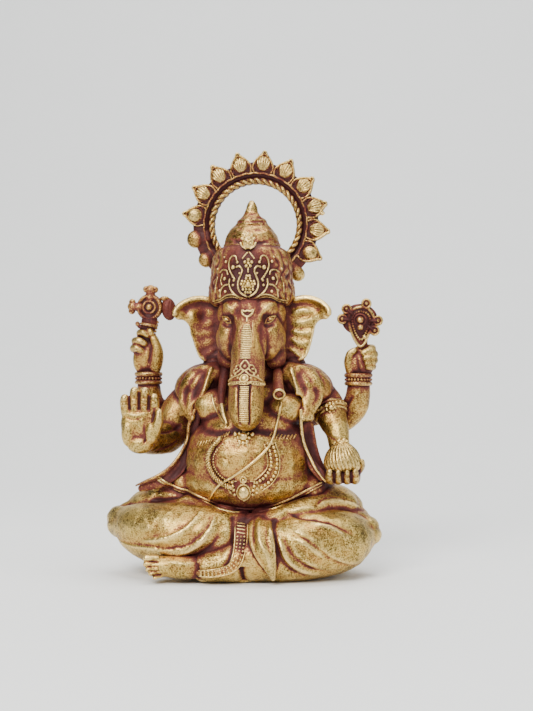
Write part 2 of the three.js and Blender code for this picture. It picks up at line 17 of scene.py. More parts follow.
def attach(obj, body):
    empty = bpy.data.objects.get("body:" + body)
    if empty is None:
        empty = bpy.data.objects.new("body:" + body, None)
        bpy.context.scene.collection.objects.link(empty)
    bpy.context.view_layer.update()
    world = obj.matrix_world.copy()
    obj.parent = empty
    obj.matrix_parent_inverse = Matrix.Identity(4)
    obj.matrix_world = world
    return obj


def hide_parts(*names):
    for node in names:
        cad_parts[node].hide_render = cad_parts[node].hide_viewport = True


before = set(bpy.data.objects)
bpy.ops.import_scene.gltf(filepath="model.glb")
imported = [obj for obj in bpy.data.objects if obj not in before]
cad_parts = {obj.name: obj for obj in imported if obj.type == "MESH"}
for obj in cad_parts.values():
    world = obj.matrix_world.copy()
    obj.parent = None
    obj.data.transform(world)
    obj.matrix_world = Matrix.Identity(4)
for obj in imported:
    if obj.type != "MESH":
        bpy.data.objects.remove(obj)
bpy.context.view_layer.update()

MM = 0.001
FAR = 300.0  # farther than any piece, for sight lines
RIGHT, LEFT = -1, 1  # the figure's own sides
GRAIN = 0.42  # edge length of a worked skin
FINE_GRAIN = 0.3  # the same for hands, face and crown
BODY_GRAIN = 1.03 * GRAIN  # the body is the largest skin
RIB_WIDTH, HOLLOW_WIDTH = 0.9, 3.4  # how far round a place the two measures of crowding look
CROWDING_CELL = 0.7
FINE_ROUNDS, BROAD_ROUNDS = ((9, 42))  # of easing, for fine and broad relief

BELLY_HEIGHT = 38.0  # the belly's middle
HEAD_MIDDLE = -0.35  # where the head's and the trunk's middle line lies
ORNAMENT_MIDDLE = -0.3  # the same for what hangs on the trunk and the crown
CROWN_AXIS = (-0.5, -3)
RUNGS, RUNG_STEP = 19, 0.6  # each ladder on the trunk
HALO_DEPTH, HALO_HEIGHT = 6.0, 119.3  # the ring's middle
HALO_SPAN = math.radians(150)  # to either side of the top
PETAL_PITCH, PETAL_LEAN = math.radians(22), math.radians(7.5)
PETAL_COUNT = 13
JEWEL_MIDDLE = -0.9  # the garland's jewel
ROSETTE_MIDDLE = -1.0  # the jewel on the breast

# colours of the metal and of what lies on it
RED_PATINA = (0.17, 0.036, 0.024, 1)
DEEP_PATINA = (0.040, 0.0072, 0.0072, 1)
DULL_GOLD = (0.105, 0.071, 0.020, 1)
# pale gold of ridges polished by handling, also used as painted highlight
RUBBED_AND_HIGHLIGHT_GOLD = (0.93, 0.67, 0.25, 1)
BLUSH_TINT = (0.95, 0.60, 0.50, 1)


# ---------------------------------------------------------------- lines


def mirrored(side, shift, *points):
    """Points given for the left side, brought to either side and moved across by shift."""
    return [(side * x + shift, z) for x, z in points]


def curve(points, per_span=6, closed=False):
    """A smooth line through the points, which may have any number of columns."""
    p = np.asarray(points, float)
    if closed:
        p = np.vstack([p[-1], p, p[0], p[1]])
    else:
        p = np.vstack([2 * p[0] - p[1], p, 2 * p[-1] - p[-2]])
    t = np.linspace(0, 1, per_span, endpoint=False)[:, None]
    spans = [
        0.5 * (2 * b + (c - a) * t + (2 * a - 5 * b + 4 * c - d) * t**2 + (3 * b - a - 3 * c + d) * t**3)
        for a, b, c, d in zip(p, p[1:], p[2:], p[3:])
    ]
    line = np.vstack(spans)
    return line if closed else np.vstack([line, p[-2]])


def frames_along(path, closed=False, facing=None):
    """One turning frame for each point of a path, carried along without twist or kept to a facing."""
    tangents = np.gradient(path, axis=0) if not closed else np.roll(path, -1, 0) - np.roll(path, 1, 0)
    tangents /= np.linalg.norm(tangents, axis=1)[:, None]
    side = np.cross(tangents[0], (0, 0, 1) if abs(tangents[0][2]) < 0.9 else (0, 1, 0))
    frames = []
    for t in tangents:
        side = side - t * np.dot(side, t) if facing is None else np.cross(t, facing)
        side /= np.linalg.norm(side)
        frames.append((side, np.cross(t, side), t))
    return frames


# ---------------------------------------------------------------- shapes laid into a bmesh


def ball(bm, at, radii, turn=None, across=24, down=16):
    """An ellipsoid. turn is (degrees, axis)."""
    verts = bmesh.ops.create_uvsphere(bm, u_segments=across, v_segments=down, radius=1)["verts"]
    bmesh.ops.scale(bm, vec=np.broadcast_to(radii, 3), verts=verts)
    if turn:
        bmesh.ops.rotate(bm, matrix=Matrix.Rotation(math.radians(turn[0]), 3, turn[1]), verts=verts)
    bmesh.ops.translate(bm, vec=at, verts=verts)
    return verts


def sweep(bm, path, radius, sides=8, closed=False, squash=1.0, ends=True, facing=None):
    """A tube along a path, its circle drawn out from place to place."""
    path = np.asarray(path, float)
    radius = np.broadcast_to(np.asarray(radius, float), len(path)).copy()
    squash = np.broadcast_to(np.asarray(squash, float), len(path))
    if not closed and ends:
        tips = [(0.45, 0.88), (0.8, 0.6), (0.97, 0.25)]
        start, stop = path[0] - path[1], path[-1] - path[-2]
        start, stop = start / np.linalg.norm(start), stop / np.linalg.norm(stop)
        before = [path[0] + start * radius[0] * far for far, _ in reversed(tips)]
        after = [path[-1] + stop * radius[-1] * far for far, _ in tips]
        radius = np.concatenate(
            [[radius[0] * r for _, r in reversed(tips)], radius, [radius[-1] * r for _, r in tips]]
        )
        squash = np.concatenate([[squash[0]] * 3, squash, [squash[-1]] * 3])
        path = np.vstack([before, path, after])
    places = []
    for k, (side, up, along) in enumerate(frames_along(path, closed, facing)):
        basis = Matrix((side, up, along)).transposed().to_4x4()
        size = Matrix.Diagonal((radius[k], radius[k] * squash[k], radius[k], 1))
        places.append(Matrix.Translation(path[k]) @ basis @ size)
    ring = bmesh.ops.create_circle(bm, segments=sides, radius=1)["verts"]
    bmesh.ops.transform(bm, matrix=places[0], verts=ring)
    first = edges = list({edge for vert in ring for edge in vert.link_edges})
    for here, there in zip(places, places[1:]):
        drawn = bmesh.ops.extrude_edge_only(bm, edges=edges)["geom"]
        edges = [part for part in drawn if isinstance(part, bmesh.types.BMEdge)]
        verts = [part for part in drawn if isinstance(part, bmesh.types.BMVert)]
        bmesh.ops.transform(bm, matrix=there @ here.inverted(), verts=verts)
    if closed:
        bmesh.ops.bridge_loops(bm, edges=first + edges)
    else:
        bmesh.ops.edgeloop_fill(bm, edges=first)
        bmesh.ops.edgeloop_fill(bm, edges=edges)


def limb(bm, stations, sides=20, squash=1.0):
    """A round bar through (x, y, z, radius) stations."""
    line = curve(stations, 5)
    sweep(bm, line[:, :3], line[:, 3], sides, squash=squash)


def ribbon(bm, stations, thick, facing=(0, -1, 0)):
    """A strip of cloth through (x, y, z, half width) stations, flat towards its facing."""
    line = curve(stations, 5)
    facing = np.asarray(facing) / np.linalg.norm(facing)
    sweep(bm, line[:, :3], line[:, 3], 18, squash=thick / 2 / line[:, 3], facing=facing)


def bead(bm, at, radius, flat=1.0):
    """One small bead of few faces; flat shortens it from front to back."""
    ball(bm, at, (radius, radius * flat, radius), across=8, down=6)


def turned(bm, centre, profile, sides=64):
    """A turned shape about an upright axis at centre (x, y), from (radius, height) pairs upwards."""
    before = set(bm.verts)
    line = [(0, profile[0][1]), *profile, (0, profile[-1][1])]
    verts = [bm.verts.new((centre[0] + r, centre[1], z)) for r, z in line]
    edges = [bm.edges.new(pair) for pair in zip(verts, verts[1:])]
    at, turn = (*centre, 0), 2 * math.pi
    bmesh.ops.spin(bm, geom=verts + edges, cent=at, axis=(0, 0, 1), angle=turn, steps=sides, use_merge=True)
    bmesh.ops.remove_doubles(bm, verts=[v for v in bm.verts if v not in before], dist=1e-4)
    return [v for v in bm.verts if v not in before]


def ring(bm, at, radius, thick, facing=(0, -1, 0), across=24, sides=6):
    """A round wire ring that faces a given way."""
    side, up, _ = frames_along(np.array([(0, 0, 0), facing], float))[0]
    angles = np.linspace(0, 2 * math.pi, across, endpoint=False)
    path = [np.asarray(at) + radius * (math.cos(a) * side + math.sin(a) * up) for a in angles]
    sweep(bm, path, thick, sides, closed=True)


def plate(bm, outline, low, high):
    """A flat piece with the given outline in X and Z, between two depths."""
    face = bm.faces.new([bm.verts.new((x, low, z)) for x, z in outline])
    drawn = bmesh.ops.extrude_face_region(bm, geom=[face])["geom"]
    verts = [part for part in drawn if isinstance(part, bmesh.types.BMVert)]
    bmesh.ops.translate(bm, vec=(0, high - low, 0), verts=verts)


def turn_angles(count):
    """The angles of so many even steps of a full turn."""
    return [2 * math.pi * k / count for k in range(count)]


def slackened(line, rounds):
    """A line drawn towards its own mean, its ends held."""
    for _ in range(rounds):
        line[1:-1] = (line[:-2] + 2 * line[1:-1] + line[2:]) / 4
    return line


def paced(line, spacing):
    """Places along a line, evenly spaced."""
    length = np.concatenate([[0], np.cumsum(np.linalg.norm(np.diff(line, axis=0), axis=1))])
    marks = np.linspace(0, length[-1], max(int(length[-1] / spacing), 1) + 1)
    return np.stack([np.interp(marks, length, column) for column in line.T], axis=1)


# ---------------------------------------------------------------- worked skins

SIGHTS = {
    "front": (lambda a, b: (a, -FAR, b), (0, 1, 0)),
    "back": (lambda a, b: (a, FAR, b), (0, -1, 0)),
    "right": (lambda a, b: (-FAR, a, b), (1, 0, 0)),
    "left": (lambda a, b: (FAR, a, b), (-1, 0, 0)),
    "top": (lambda a, b: (a, b, FAR), (0, 0, -1)),
}


class Skin:
    """Masses fused into one even skin, which strokes then raise, sink and mark with patina, in a few places
    with painted shade.
    """

    def __init__(self, bm, grain=GRAIN, soften=3):
        bmesh.ops.recalc_face_normals(bm, faces=bm.faces)
        rough = bpy.data.meshes.new("masses")
        bm.to_mesh(rough)
        bm.free()
        body = bpy.data.objects.new("masses", rough)
        bpy.context.scene.collection.objects.link(body)
        fuse = body.modifiers.new("fuse", "REMESH")
        fuse.mode = "VOXEL"
        fuse.voxel_size = grain
        fuse.use_smooth_shade = True
        smooth = body.modifiers.new("soften", "SMOOTH")
        smooth.iterations = soften
        settled = body.evaluated_get(bpy.context.evaluated_depsgraph_get())
        self.mesh = bpy.data.meshes.new_from_object(settled)
        bpy.data.objects.remove(body)
        self.co = np.zeros((len(self.mesh.vertices), 3))
        self.mesh.vertices.foreach_get("co", self.co.ravel())
        self.co[:, 2] = np.maximum(self.co[:, 2], 0)
        self.wash_and_shade = np.zeros(len(self.co))
        self.settle()
        self.roughen(0.7 if grain == FINE_GRAIN else 1.0)
        self.settle()

    def roughen(self, amount):
        """The slight lumpiness of a casting."""
        for size, height in ((1.3, 0.07), (2.6, 0.1), (6.5, 0.2)):
            bumps = [noise.noise(place) for place in map(Vector, self.co / size + 7 * size)]
            self.co += self.normal * (amount * height * np.array(bumps))[:, None]

    def settle(self):
        """Takes the worked places as they are now, for the strokes that follow."""
        self.mesh.vertices.foreach_set("co", self.co.ravel())
        self.mesh.update()
        self.normal = np.zeros((len(self.co), 3))
        self.mesh.vertex_normals.foreach_get("vector", self.normal.ravel())
        bm = bmesh.new()
        bm.from_mesh(self.mesh)
        self.tree = BVHTree.FromBMesh(bm)
        bm.free()

    def spot(self, a, b, sight="front"):
        """The place on the skin that is seen at (a, b), and the skin's direction there."""
        start, way = SIGHTS[sight]
        place, normal, _, _ = self.tree.ray_cast(Vector(start(a, b)), Vector(way))
        return (np.array(place), np.array(normal)) if place else None

    def lay(self, points, sight="front", per_span=5, lift=0.0, closed=False):
        """A line on the skin through the seen points; what misses the skin is left out."""
        seen = [self.spot(a, b, sight) for a, b in curve(points, per_span, closed)]
        return np.array([place + normal * lift for place, normal in filter(None, seen)])

    def reached(self, line, reach, sight):
        """The places within reach of a line: which, how far, how far along, and which way off it."""
        low, high = line.min(0) - reach, line.max(0) + reach
        close = ((self.co > low) & (self.co < high)).all(1)
        if sight:
            close &= self.normal @ np.array(SIGHTS[sight][1]) < 0.4
        near = np.flatnonzero(close)
        start, run = line[:-1], np.diff(line, axis=0)
        gap = self.co[near][:, None] - start
        share = np.clip((gap * run).sum(2) / np.maximum((run**2).sum(1), 1e-9), 0, 1)
        away = gap - share[..., None] * run
        distance = np.linalg.norm(away, axis=2)
        nearest = distance.argmin(1)
        rows = np.arange(len(near))
        distance = distance[rows, nearest]
        along = (nearest + share[rows, nearest]) / len(start)
        inside = distance < reach
        away, run = away[rows, nearest][inside], run[nearest][inside]
        return near[inside], distance[inside], along[inside], away, run

    def stroke(self, points, width, height, sight="front", sharp=False, taper=0.25, stain_and_shade=0.0):
        """Raises the skin along a line, or sinks it where height is below zero."""
        line = self.lay(points, sight)
        if len(line) < 2:
            return
        near, distance, along, _, _ = self.reached(line, width * (4 if sharp else 2.6), sight)
        profile = np.exp(-((distance / width) ** (1.1 if sharp else 2)))
        ends = np.clip(np.minimum(along, 1 - along) / max(taper, 1e-3), 0, 1) ** 0.7
        self.co[near] += self.normal[near] * (height * profile * ends)[:, None]
        self.wash_and_shade[near] += stain_and_shade * profile * ends

    def overlap(self, points, height, fade, stain_and_shade=0.0):
        """A cloth edge: the side to the left of the line's run stands above the other."""
        line = self.lay(points)
        near, distance, along, away, run = self.reached(line, fade * 3, "front")
        side = np.sign((np.cross(run, SIGHTS["front"][1]) * away).sum(1))
        ends = np.clip(np.minimum(along, 1 - along) / 0.15, 0, 1)
        high = np.where(side > 0, np.exp(-distance / fade), -0.5 * np.exp(-distance / (0.25 * fade)))
        self.co[near] += self.normal[near] * (height * high * ends)[:, None]
        self.wash_and_shade[near] += stain_and_shade * ends * (side < 0) * np.exp(-distance / (0.4 * fade))

    def swell(self, at, radii, height, stain_and_shade=0.0):
        """A soft rise about a place."""
        share = (((self.co - np.asarray(at)) / np.broadcast_to(radii, 3)) ** 2).sum(1)
        near = share < 6
        amount = np.exp(-share[near])
        self.co[near] += self.normal[near] * (height * amount)[:, None]
        self.wash_and_shade[near] += stain_and_shade * amount

    def hug(self, points, lift=0.0):
        """The nearest places on the skin to points about it."""
        found = [self.tree.find_nearest(Vector(point)) for point in points]
        return np.array([np.array(place) + np.array(normal) * lift for place, normal, _, _ in found])

    def wire(self, bm, points, radius, sides=6, closed=False, per_span=5):
        """A fine wire laid on the skin, sunk a little into it."""
        line = self.lay(points, "front", per_span, radius * 0.6, closed)
        if len(line) > 2:
            sweep(bm, line, radius, sides, closed)

    def studs(self, bm, points, radius, spacing):
        """A row of beads on the skin."""
        for at in paced(self.lay(points, "front", 6, radius * 0.5), spacing):
            bead(bm, at, radius, 0.9)

    def stud(self, bm, x, z, radius, flat=0.8):
        """One bead on the skin."""
        found = self.spot(x, z)
        if found:
            bead(bm, found[0] + found[1] * radius * 0.5, radius, flat)

    def ease(self, rounds=1):
        """Evens out the small steps that strokes leave."""
        edges = np.zeros((len(self.mesh.edges), 2), np.int64)
        self.mesh.edges.foreach_get("vertices", edges.ravel())
        self.co = eased(self.co, edges, rounds)


def eased(values, edges, rounds):
    """Values at points drawn towards the mean of their neighbours."""
    a, b = edges.T
    count = np.bincount(a, minlength=len(values)) + np.bincount(b, minlength=len(values))
    for _ in range(rounds):
        mean = np.stack(
            [
                np.bincount(a, column[b], len(values)) + np.bincount(b, column[a], len(values))
                for column in values.T
            ],
            axis=1,
        ) / np.maximum(count, 1)[:, None]
        values = values + 0.5 * (mean - values)
    return values


# ---------------------------------------------------------------- finished pieces

cast_pieces = []


def cast(name, nodes, slot, skin=None, details=(), tone=0.0):
    """One finished piece from a worked skin and its fine details, in metres, in place of its CAD nodes.

    tone adds to the patina all over, on a few pieces painted shade as well; details are pairs of a bmesh
    and its own amount of both."""
    bm = bmesh.new()
    stain_and_shade = bm.verts.layers.float.new("wash_and_shade")
    if skin:
        skin.settle()
        bm.from_mesh(skin.mesh)
        for vert, amount in zip(bm.verts, skin.wash_and_shade):
            vert[stain_and_shade] = amount + tone
    for detail, wash_and_shade in details:
        bmesh.ops.recalc_face_normals(detail, faces=detail.faces)
        extra = bpy.data.meshes.new("detail")
        detail.to_mesh(extra)
        detail.free()
        worked = len(bm.verts)
        bm.from_mesh(extra)
        bm.verts.ensure_lookup_table()
        for vert in bm.verts[worked:]:
            vert[stain_and_shade] = wash_and_shade
    for vert in bm.verts:
        vert.co.z = max(vert.co.z, 0.0)
    bmesh.ops.scale(bm, vec=(MM, MM, MM), verts=bm.verts)
    mesh = bpy.data.meshes.new(name)
    bm.to_mesh(mesh)
    bm.free()
    mesh.shade_smooth()
    piece = bpy.data.objects.new(name, mesh)
    bpy.context.scene.collection.objects.link(piece)
    mesh.materials.append(finishes[slot])
    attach(piece, "root")
    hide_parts(*nodes)
    cast_pieces.append(piece)
    return piece


def mesh_arrays(mesh):
    """A mesh's places and directions in millimetres, the area about each place, and its edges."""
    count = len(mesh.vertices)
    co, normal = np.zeros((count, 3)), np.zeros((count, 3))
    mesh.vertices.foreach_get("co", co.ravel())
    mesh.vertex_normals.foreach_get("vector", normal.ravel())
    edges = np.zeros((len(mesh.edges), 2), np.int64)
    mesh.edges.foreach_get("vertices", edges.ravel())
    face_area = np.zeros(len(mesh.polygons))
    mesh.polygons.foreach_get("area", face_area)
    corner_count = np.zeros(len(mesh.polygons), np.int64)
    mesh.polygons.foreach_get("loop_total", corner_count)
    corner = np.zeros(len(mesh.loops), np.int64)
    mesh.loops.foreach_get("vertex_index", corner)
    share = np.repeat(face_area / corner_count, corner_count)
    area = np.bincount(corner, share, count)
    return co / MM, normal, area / MM**2, edges


def crowding(places, normals, areas, widths, cell):
    """How much metal lies round each place: 0.5 on a flat face, more in a hollow, less on an edge.

    The skin's directions, spread on a grid, are the slope of the filled space; solving for that space
    and blurring it by each width gives the share of metal about every place."""
    low = places.min(0) - 10
    count = np.ceil((places.max(0) + 10 - low) / cell).astype(int)
    index = np.round((places - low) / cell).astype(int)
    flat = np.ravel_multi_index(index.T, count)
    freq = [2 * np.pi * np.fft.fftfreq(n, cell) for n in count[:2]]
    freq.append(2 * np.pi * np.fft.rfftfreq(count[2], cell))
    kx, ky, kz = np.meshgrid(*freq, indexing="ij")
    square = kx**2 + ky**2 + kz**2
    slope = np.zeros(square.shape, complex)
    for axis, k in enumerate((kx, ky, kz)):
        grid = np.bincount(flat, normals[:, axis] * areas, count.prod()).reshape(count) / cell**3
        slope += 1j * k * np.fft.rfftn(grid)
    square[0, 0, 0] = 1
    filled = slope / square
    at = (places - low) / cell
    base = np.floor(at).astype(int)
    part = at - base
    shares = []
    for width in widths:
        space = np.fft.irfftn(filled * np.exp(-square * width**2 / 2), s=tuple(count))
        space -= space[0, 0, 0]
        value = np.zeros(len(places))
        for corner in np.ndindex(2, 2, 2):
            weight = np.prod(np.where(corner, part, 1 - part), axis=1)
            value += weight * space[tuple((base + corner).T)]
        shares.append(value)
    return shares


def settle_patina():
    """Gives every piece its two guides: hollow, where patina gathers, and ridge, where it wears off and
    where a pale highlight is painted.
    """
    arrays = [mesh_arrays(piece.data) for piece in cast_pieces]
    places, normals, areas = (np.concatenate([a[k] for a in arrays]) for k in range(3))
    near, wide = crowding(places, normals, areas, (RIB_WIDTH, HOLLOW_WIDTH), CROWDING_CELL)
    start = 0
    for piece, (co, normal, _, edges) in zip(cast_pieces, arrays):
        rows = slice(start, start + len(co))
        start += len(co)
        fine = ((eased(co, edges, FINE_ROUNDS) - co) * normal).sum(1).clip(-0.18, 0.3)
        broad = ((eased(co, edges, BROAD_ROUNDS) - co) * normal).sum(1).clip(-0.3, 0.6)
        hollow = 2.2 * (near[rows] - 0.5) + 1.5 * (wide[rows] - 0.52) + 1.6 * broad + 1.2 * fine
        hollow = np.maximum(hollow, -0.8)
        ridge = np.minimum(1.6 * (0.5 - near[rows]) - 2.0 * broad - 2.2 * fine, 1.3)
        for label, values in (("hollow", hollow), ("ridge", ridge)):
            values = eased(values[:, None], edges, 1)[:, 0]
            layer = piece.data.attributes.new(label, "FLOAT", "POINT")
            layer.data.foreach_set("value", values.astype(np.float32))


# ---------------------------------------------------------------- finishes


class Nodes:
    """Short words for laying out a node tree."""

    def __init__(self, tree):
        self.tree = tree

    def add(self, kind, inputs=(), **settings):
        node = self.tree.nodes.new(kind)
        for key, value in settings.items():
            setattr(node, key, value)
        for key, value in dict(inputs).items():
            self.feed(node.inputs[key], value)
        return node

    def feed(self, socket, value):
        if isinstance(value, bpy.types.NodeSocket):
            self.tree.links.new(value, socket)
        else:
            socket.default_value = value

    def maths(self, operation, a, b=0.0, clamp=False):
        return self.add("ShaderNodeMath", {0: a, 1: b}, operation=operation, use_clamp=clamp).outputs[0]

    def attribute(self, label):
        return self.add("ShaderNodeAttribute", attribute_name=label).outputs["Fac"]

    def noise(self, place, size, detail=3.0):
        """Noise whose features are about size millimetres wide."""
        inputs = {"Vector": place, "Scale": 1 / (size * MM), "Detail": detail, "Roughness": 0.55}
        return self.add("ShaderNodeTexNoise", inputs).outputs["Fac"]

    def spread(self, value, low, high):
        """Brings low..high to 0..1, smoothly."""
        inputs = {"Value": value, "From Min": low, "From Max": high}
        return self.add(
            "ShaderNodeMapRange", inputs, interpolation_type="SMOOTHSTEP", clamp=True
        ).outputs[0]

    def blend(self, share, a, b, kind="MIX"):
        node = self.add("ShaderNodeMix", data_type="RGBA", blend_type=kind)
        self.feed(node.inputs["Factor"], share)
        self.feed(node.inputs[6], a)
        self.feed(node.inputs[7], b)
        return node.outputs[2]


def shade_group(name, inputs, outputs):
    """A new shader node group with named sockets; gives the group, its words and its two ends."""
    group = bpy.data.node_groups.new(name, "ShaderNodeTree")
    for label, kind, value in inputs:
        socket = group.interface.new_socket(label, in_out="INPUT", socket_type=kind)
        if value is not None:
            socket.default_value = value
    for label, kind in outputs:
        group.interface.new_socket(label, in_out="OUTPUT", socket_type=kind)
    words = Nodes(group)
    return group, words, words.add("NodeGroupInput").outputs, words.add("NodeGroupOutput")


FLOAT, COLOR = "NodeSocketFloat", "NodeSocketColor"


def cast_grain_group():
    """The fine grain of the casting: bronze-powder speckle, small pits and a height for the bump."""
    inputs = [("Speckle size", FLOAT, 0.46), ("Pits", FLOAT, 0.5)]
    group, n, given, result = shade_group("cast_grain", inputs, [("Speckle", FLOAT), ("Height", FLOAT)])
    place = n.add("ShaderNodeTexCoord").outputs["Object"]
    scale = n.maths("DIVIDE", 1 / MM, given["Speckle size"])
    inputs = {"Vector": place, "Scale": scale, "Detail": 2.0, "Roughness": 0.6}
    speckle = n.add("ShaderNodeTexNoise", inputs).outputs["Fac"]
    patches = n.noise(place, 1.7, 3.0)
    pitted = n.spread(n.noise(place, 0.8, 1.0), 0.36, 0.28)
    n.feed(
        result.inputs["Speckle"],
        n.maths("ADD", n.maths("MULTIPLY", speckle, 0.72), n.maths("MULTIPLY", patches, 0.28))
    )
    height = n.maths("ADD", n.maths("MULTIPLY", speckle, 0.6), n.maths("MULTIPLY", patches, 1.1))
    n.feed(result.inputs["Height"], n.maths("SUBTRACT", height, n.maths("MULTIPLY", pitted, given["Pits"])))
    return group


def red_patina_group():
    """Red-brown patina: thick in the hollows and washed places, broken up by the grain; it also paints the
    shade laid on a few pieces.
    """
    inputs = [("Speckle", FLOAT, 0.5), ("Onset", FLOAT, 0.2), ("Softness", FLOAT, 0.3)]
    outputs = [("Cover", FLOAT), ("Colour", COLOR), ("Blush", FLOAT)]
    group, n, given, result = shade_group("red_patina", inputs, outputs)
    place = n.add("ShaderNodeTexCoord").outputs["Object"]
    drift = n.maths("SUBTRACT", n.noise(place, 7.0, 2.0), 0.5)
    broken = n.maths("SUBTRACT", given["Speckle"], 0.5)
    depth = n.maths("ADD", n.attribute("hollow"), n.attribute("wash_and_shade"))
    depth = n.maths("ADD", depth, drift)
    depth = n.maths("SUBTRACT", depth, n.maths("MULTIPLY", broken, 2.0))
    depth = n.maths("DIVIDE", n.maths("SUBTRACT", depth, given["Onset"]), given["Softness"])
    n.feed(result.inputs["Cover"], n.spread(depth, 0.0, 1.0))
    n.feed(result.inputs["Blush"], n.spread(depth, -1.2, 0.2))
    deep = n.spread(depth, 0.2, 2.6)
    n.feed(result.inputs["Colour"], n.blend(deep, RED_PATINA, DEEP_PATINA))
    return group


def worn_and_highlit_gold_group():
    """Bare gold-brass: olive where it is dull, pale on the ridges, where handling has polished it and a
    highlight is painted.
    """
    inputs = [
        ("Speckle", FLOAT, 0.5), ("Rub", FLOAT, 1.0), ("Blush", FLOAT, 0.0),
        ("Gold", COLOR, (0.6, 0.45, 0.2, 1))
    ]
    group, n, given, result = shade_group("worn_and_highlit_gold", inputs, [("Colour", COLOR), ("Rubbed_and_highlight", FLOAT)])
    place = n.add("ShaderNodeTexCoord").outputs["Object"]
    drift = n.noise(place, 9.0, 3.0)
    mottle = n.maths("ADD", n.maths("MULTIPLY", given["Speckle"], 0.75), n.maths("MULTIPLY", drift, 0.3))
    dull = n.blend(n.spread(mottle, 0.41, 0.60), DULL_GOLD, given["Gold"])
    blush = n.maths("MULTIPLY", given["Blush"], 0.48)
    warm = n.blend(blush, dull, n.blend(1.0, dull, BLUSH_TINT, "MULTIPLY"))
    # ridges: polished metal plus a painted highlight
    bare_and_highlit = n.maths("SUBTRACT", n.attribute("ridge"), n.maths("MULTIPLY", n.attribute("wash_and_shade"), 0.8))
    worn_and_highlit = n.maths("ADD", bare_and_highlit, n.maths("MULTIPLY", n.maths("SUBTRACT", given["Speckle"], 0.5), 2.2))
    rubbed_and_highlight = n.spread(n.maths("MULTIPLY", worn_and_highlit, given["Rub"]), 0.1, 1.5)
    n.feed(result.inputs["Colour"], n.blend(rubbed_and_highlight, warm, RUBBED_AND_HIGHLIGHT_GOLD))
    n.feed(result.inputs["Rubbed_and_highlight"], rubbed_and_highlight)
    return group


grain_group, patina_group, gold_group = cast_grain_group(), red_patina_group(), worn_and_highlit_gold_group()


PATINA_SOFTNESS = 0.6


def brass(name, gold, onset, rub, roughness, pits):
    """One of the figure's three finishes: gold-brass over which the red patina lies in the hollows."""
    material = bpy.data.materials.new(name)
    material.use_nodes = True
    n = Nodes(material.node_tree)
    shader = material.node_tree.nodes["Principled BSDF"]
    grain = n.add("ShaderNodeGroup", {}, node_tree=grain_group)
    grain.inputs["Pits"].default_value = pits
    speckle = grain.outputs["Speckle"]
    patina = n.add("ShaderNodeGroup", {}, node_tree=patina_group)
    worn_and_highlit = n.add("ShaderNodeGroup", {}, node_tree=gold_group)
    for socket, value in (("Speckle", speckle), ("Onset", onset), ("Softness", PATINA_SOFTNESS)):
        n.feed(patina.inputs[socket], value)
    blush = patina.outputs["Blush"]
    for socket, value in (("Speckle", speckle), ("Rub", rub), ("Blush", blush), ("Gold", (*gold, 1))):
        n.feed(worn_and_highlit.inputs[socket], value)
    cover = patina.outputs["Cover"]
    n.feed(shader.inputs["Base Color"], n.blend(cover, worn_and_highlit.outputs["Colour"], patina.outputs["Colour"]))
    n.feed(shader.inputs["Metallic"], n.maths("SUBTRACT", 1.0, n.maths("MULTIPLY", cover, 0.75)))
    uneven = n.maths("MULTIPLY", n.maths("SUBTRACT", speckle, 0.5), 0.35)
    base = n.maths("SUBTRACT", roughness, n.maths("MULTIPLY", worn_and_highlit.outputs["Rubbed_and_highlight"], 0.08))
    rough = n.maths("ADD", n.maths("ADD", base, uneven), n.maths("MULTIPLY", cover, 0.14), clamp=True)
    n.feed(shader.inputs["Roughness"], rough)
    shader.inputs["Specular IOR Level"].default_value = 0.25
    bump = n.add(
        "ShaderNodeBump", {"Height": grain.outputs["Height"], "Strength": 0.8, "Distance": 0.2 * MM}
    )
    n.feed(shader.inputs["Normal"], bump.outputs[0])
    return material


finishes = {
    name: brass(name, gold, onset, rub, roughness, pits)
    for name, gold, onset, rub, roughness, pits in (
        ("figure_brass", (0.58, 0.40, 0.105), -0.15, 0.85, 0.41, 0.5),
        ("ornament_brass", (0.58, 0.39, 0.115), -0.05, 0.85, 0.37, 0.3),
        ("cloth_brass", (0.62, 0.43, 0.115), 0.05, 0.9, 0.41, 0.5),
    )
}


# ---------------------------------------------------------------- torso


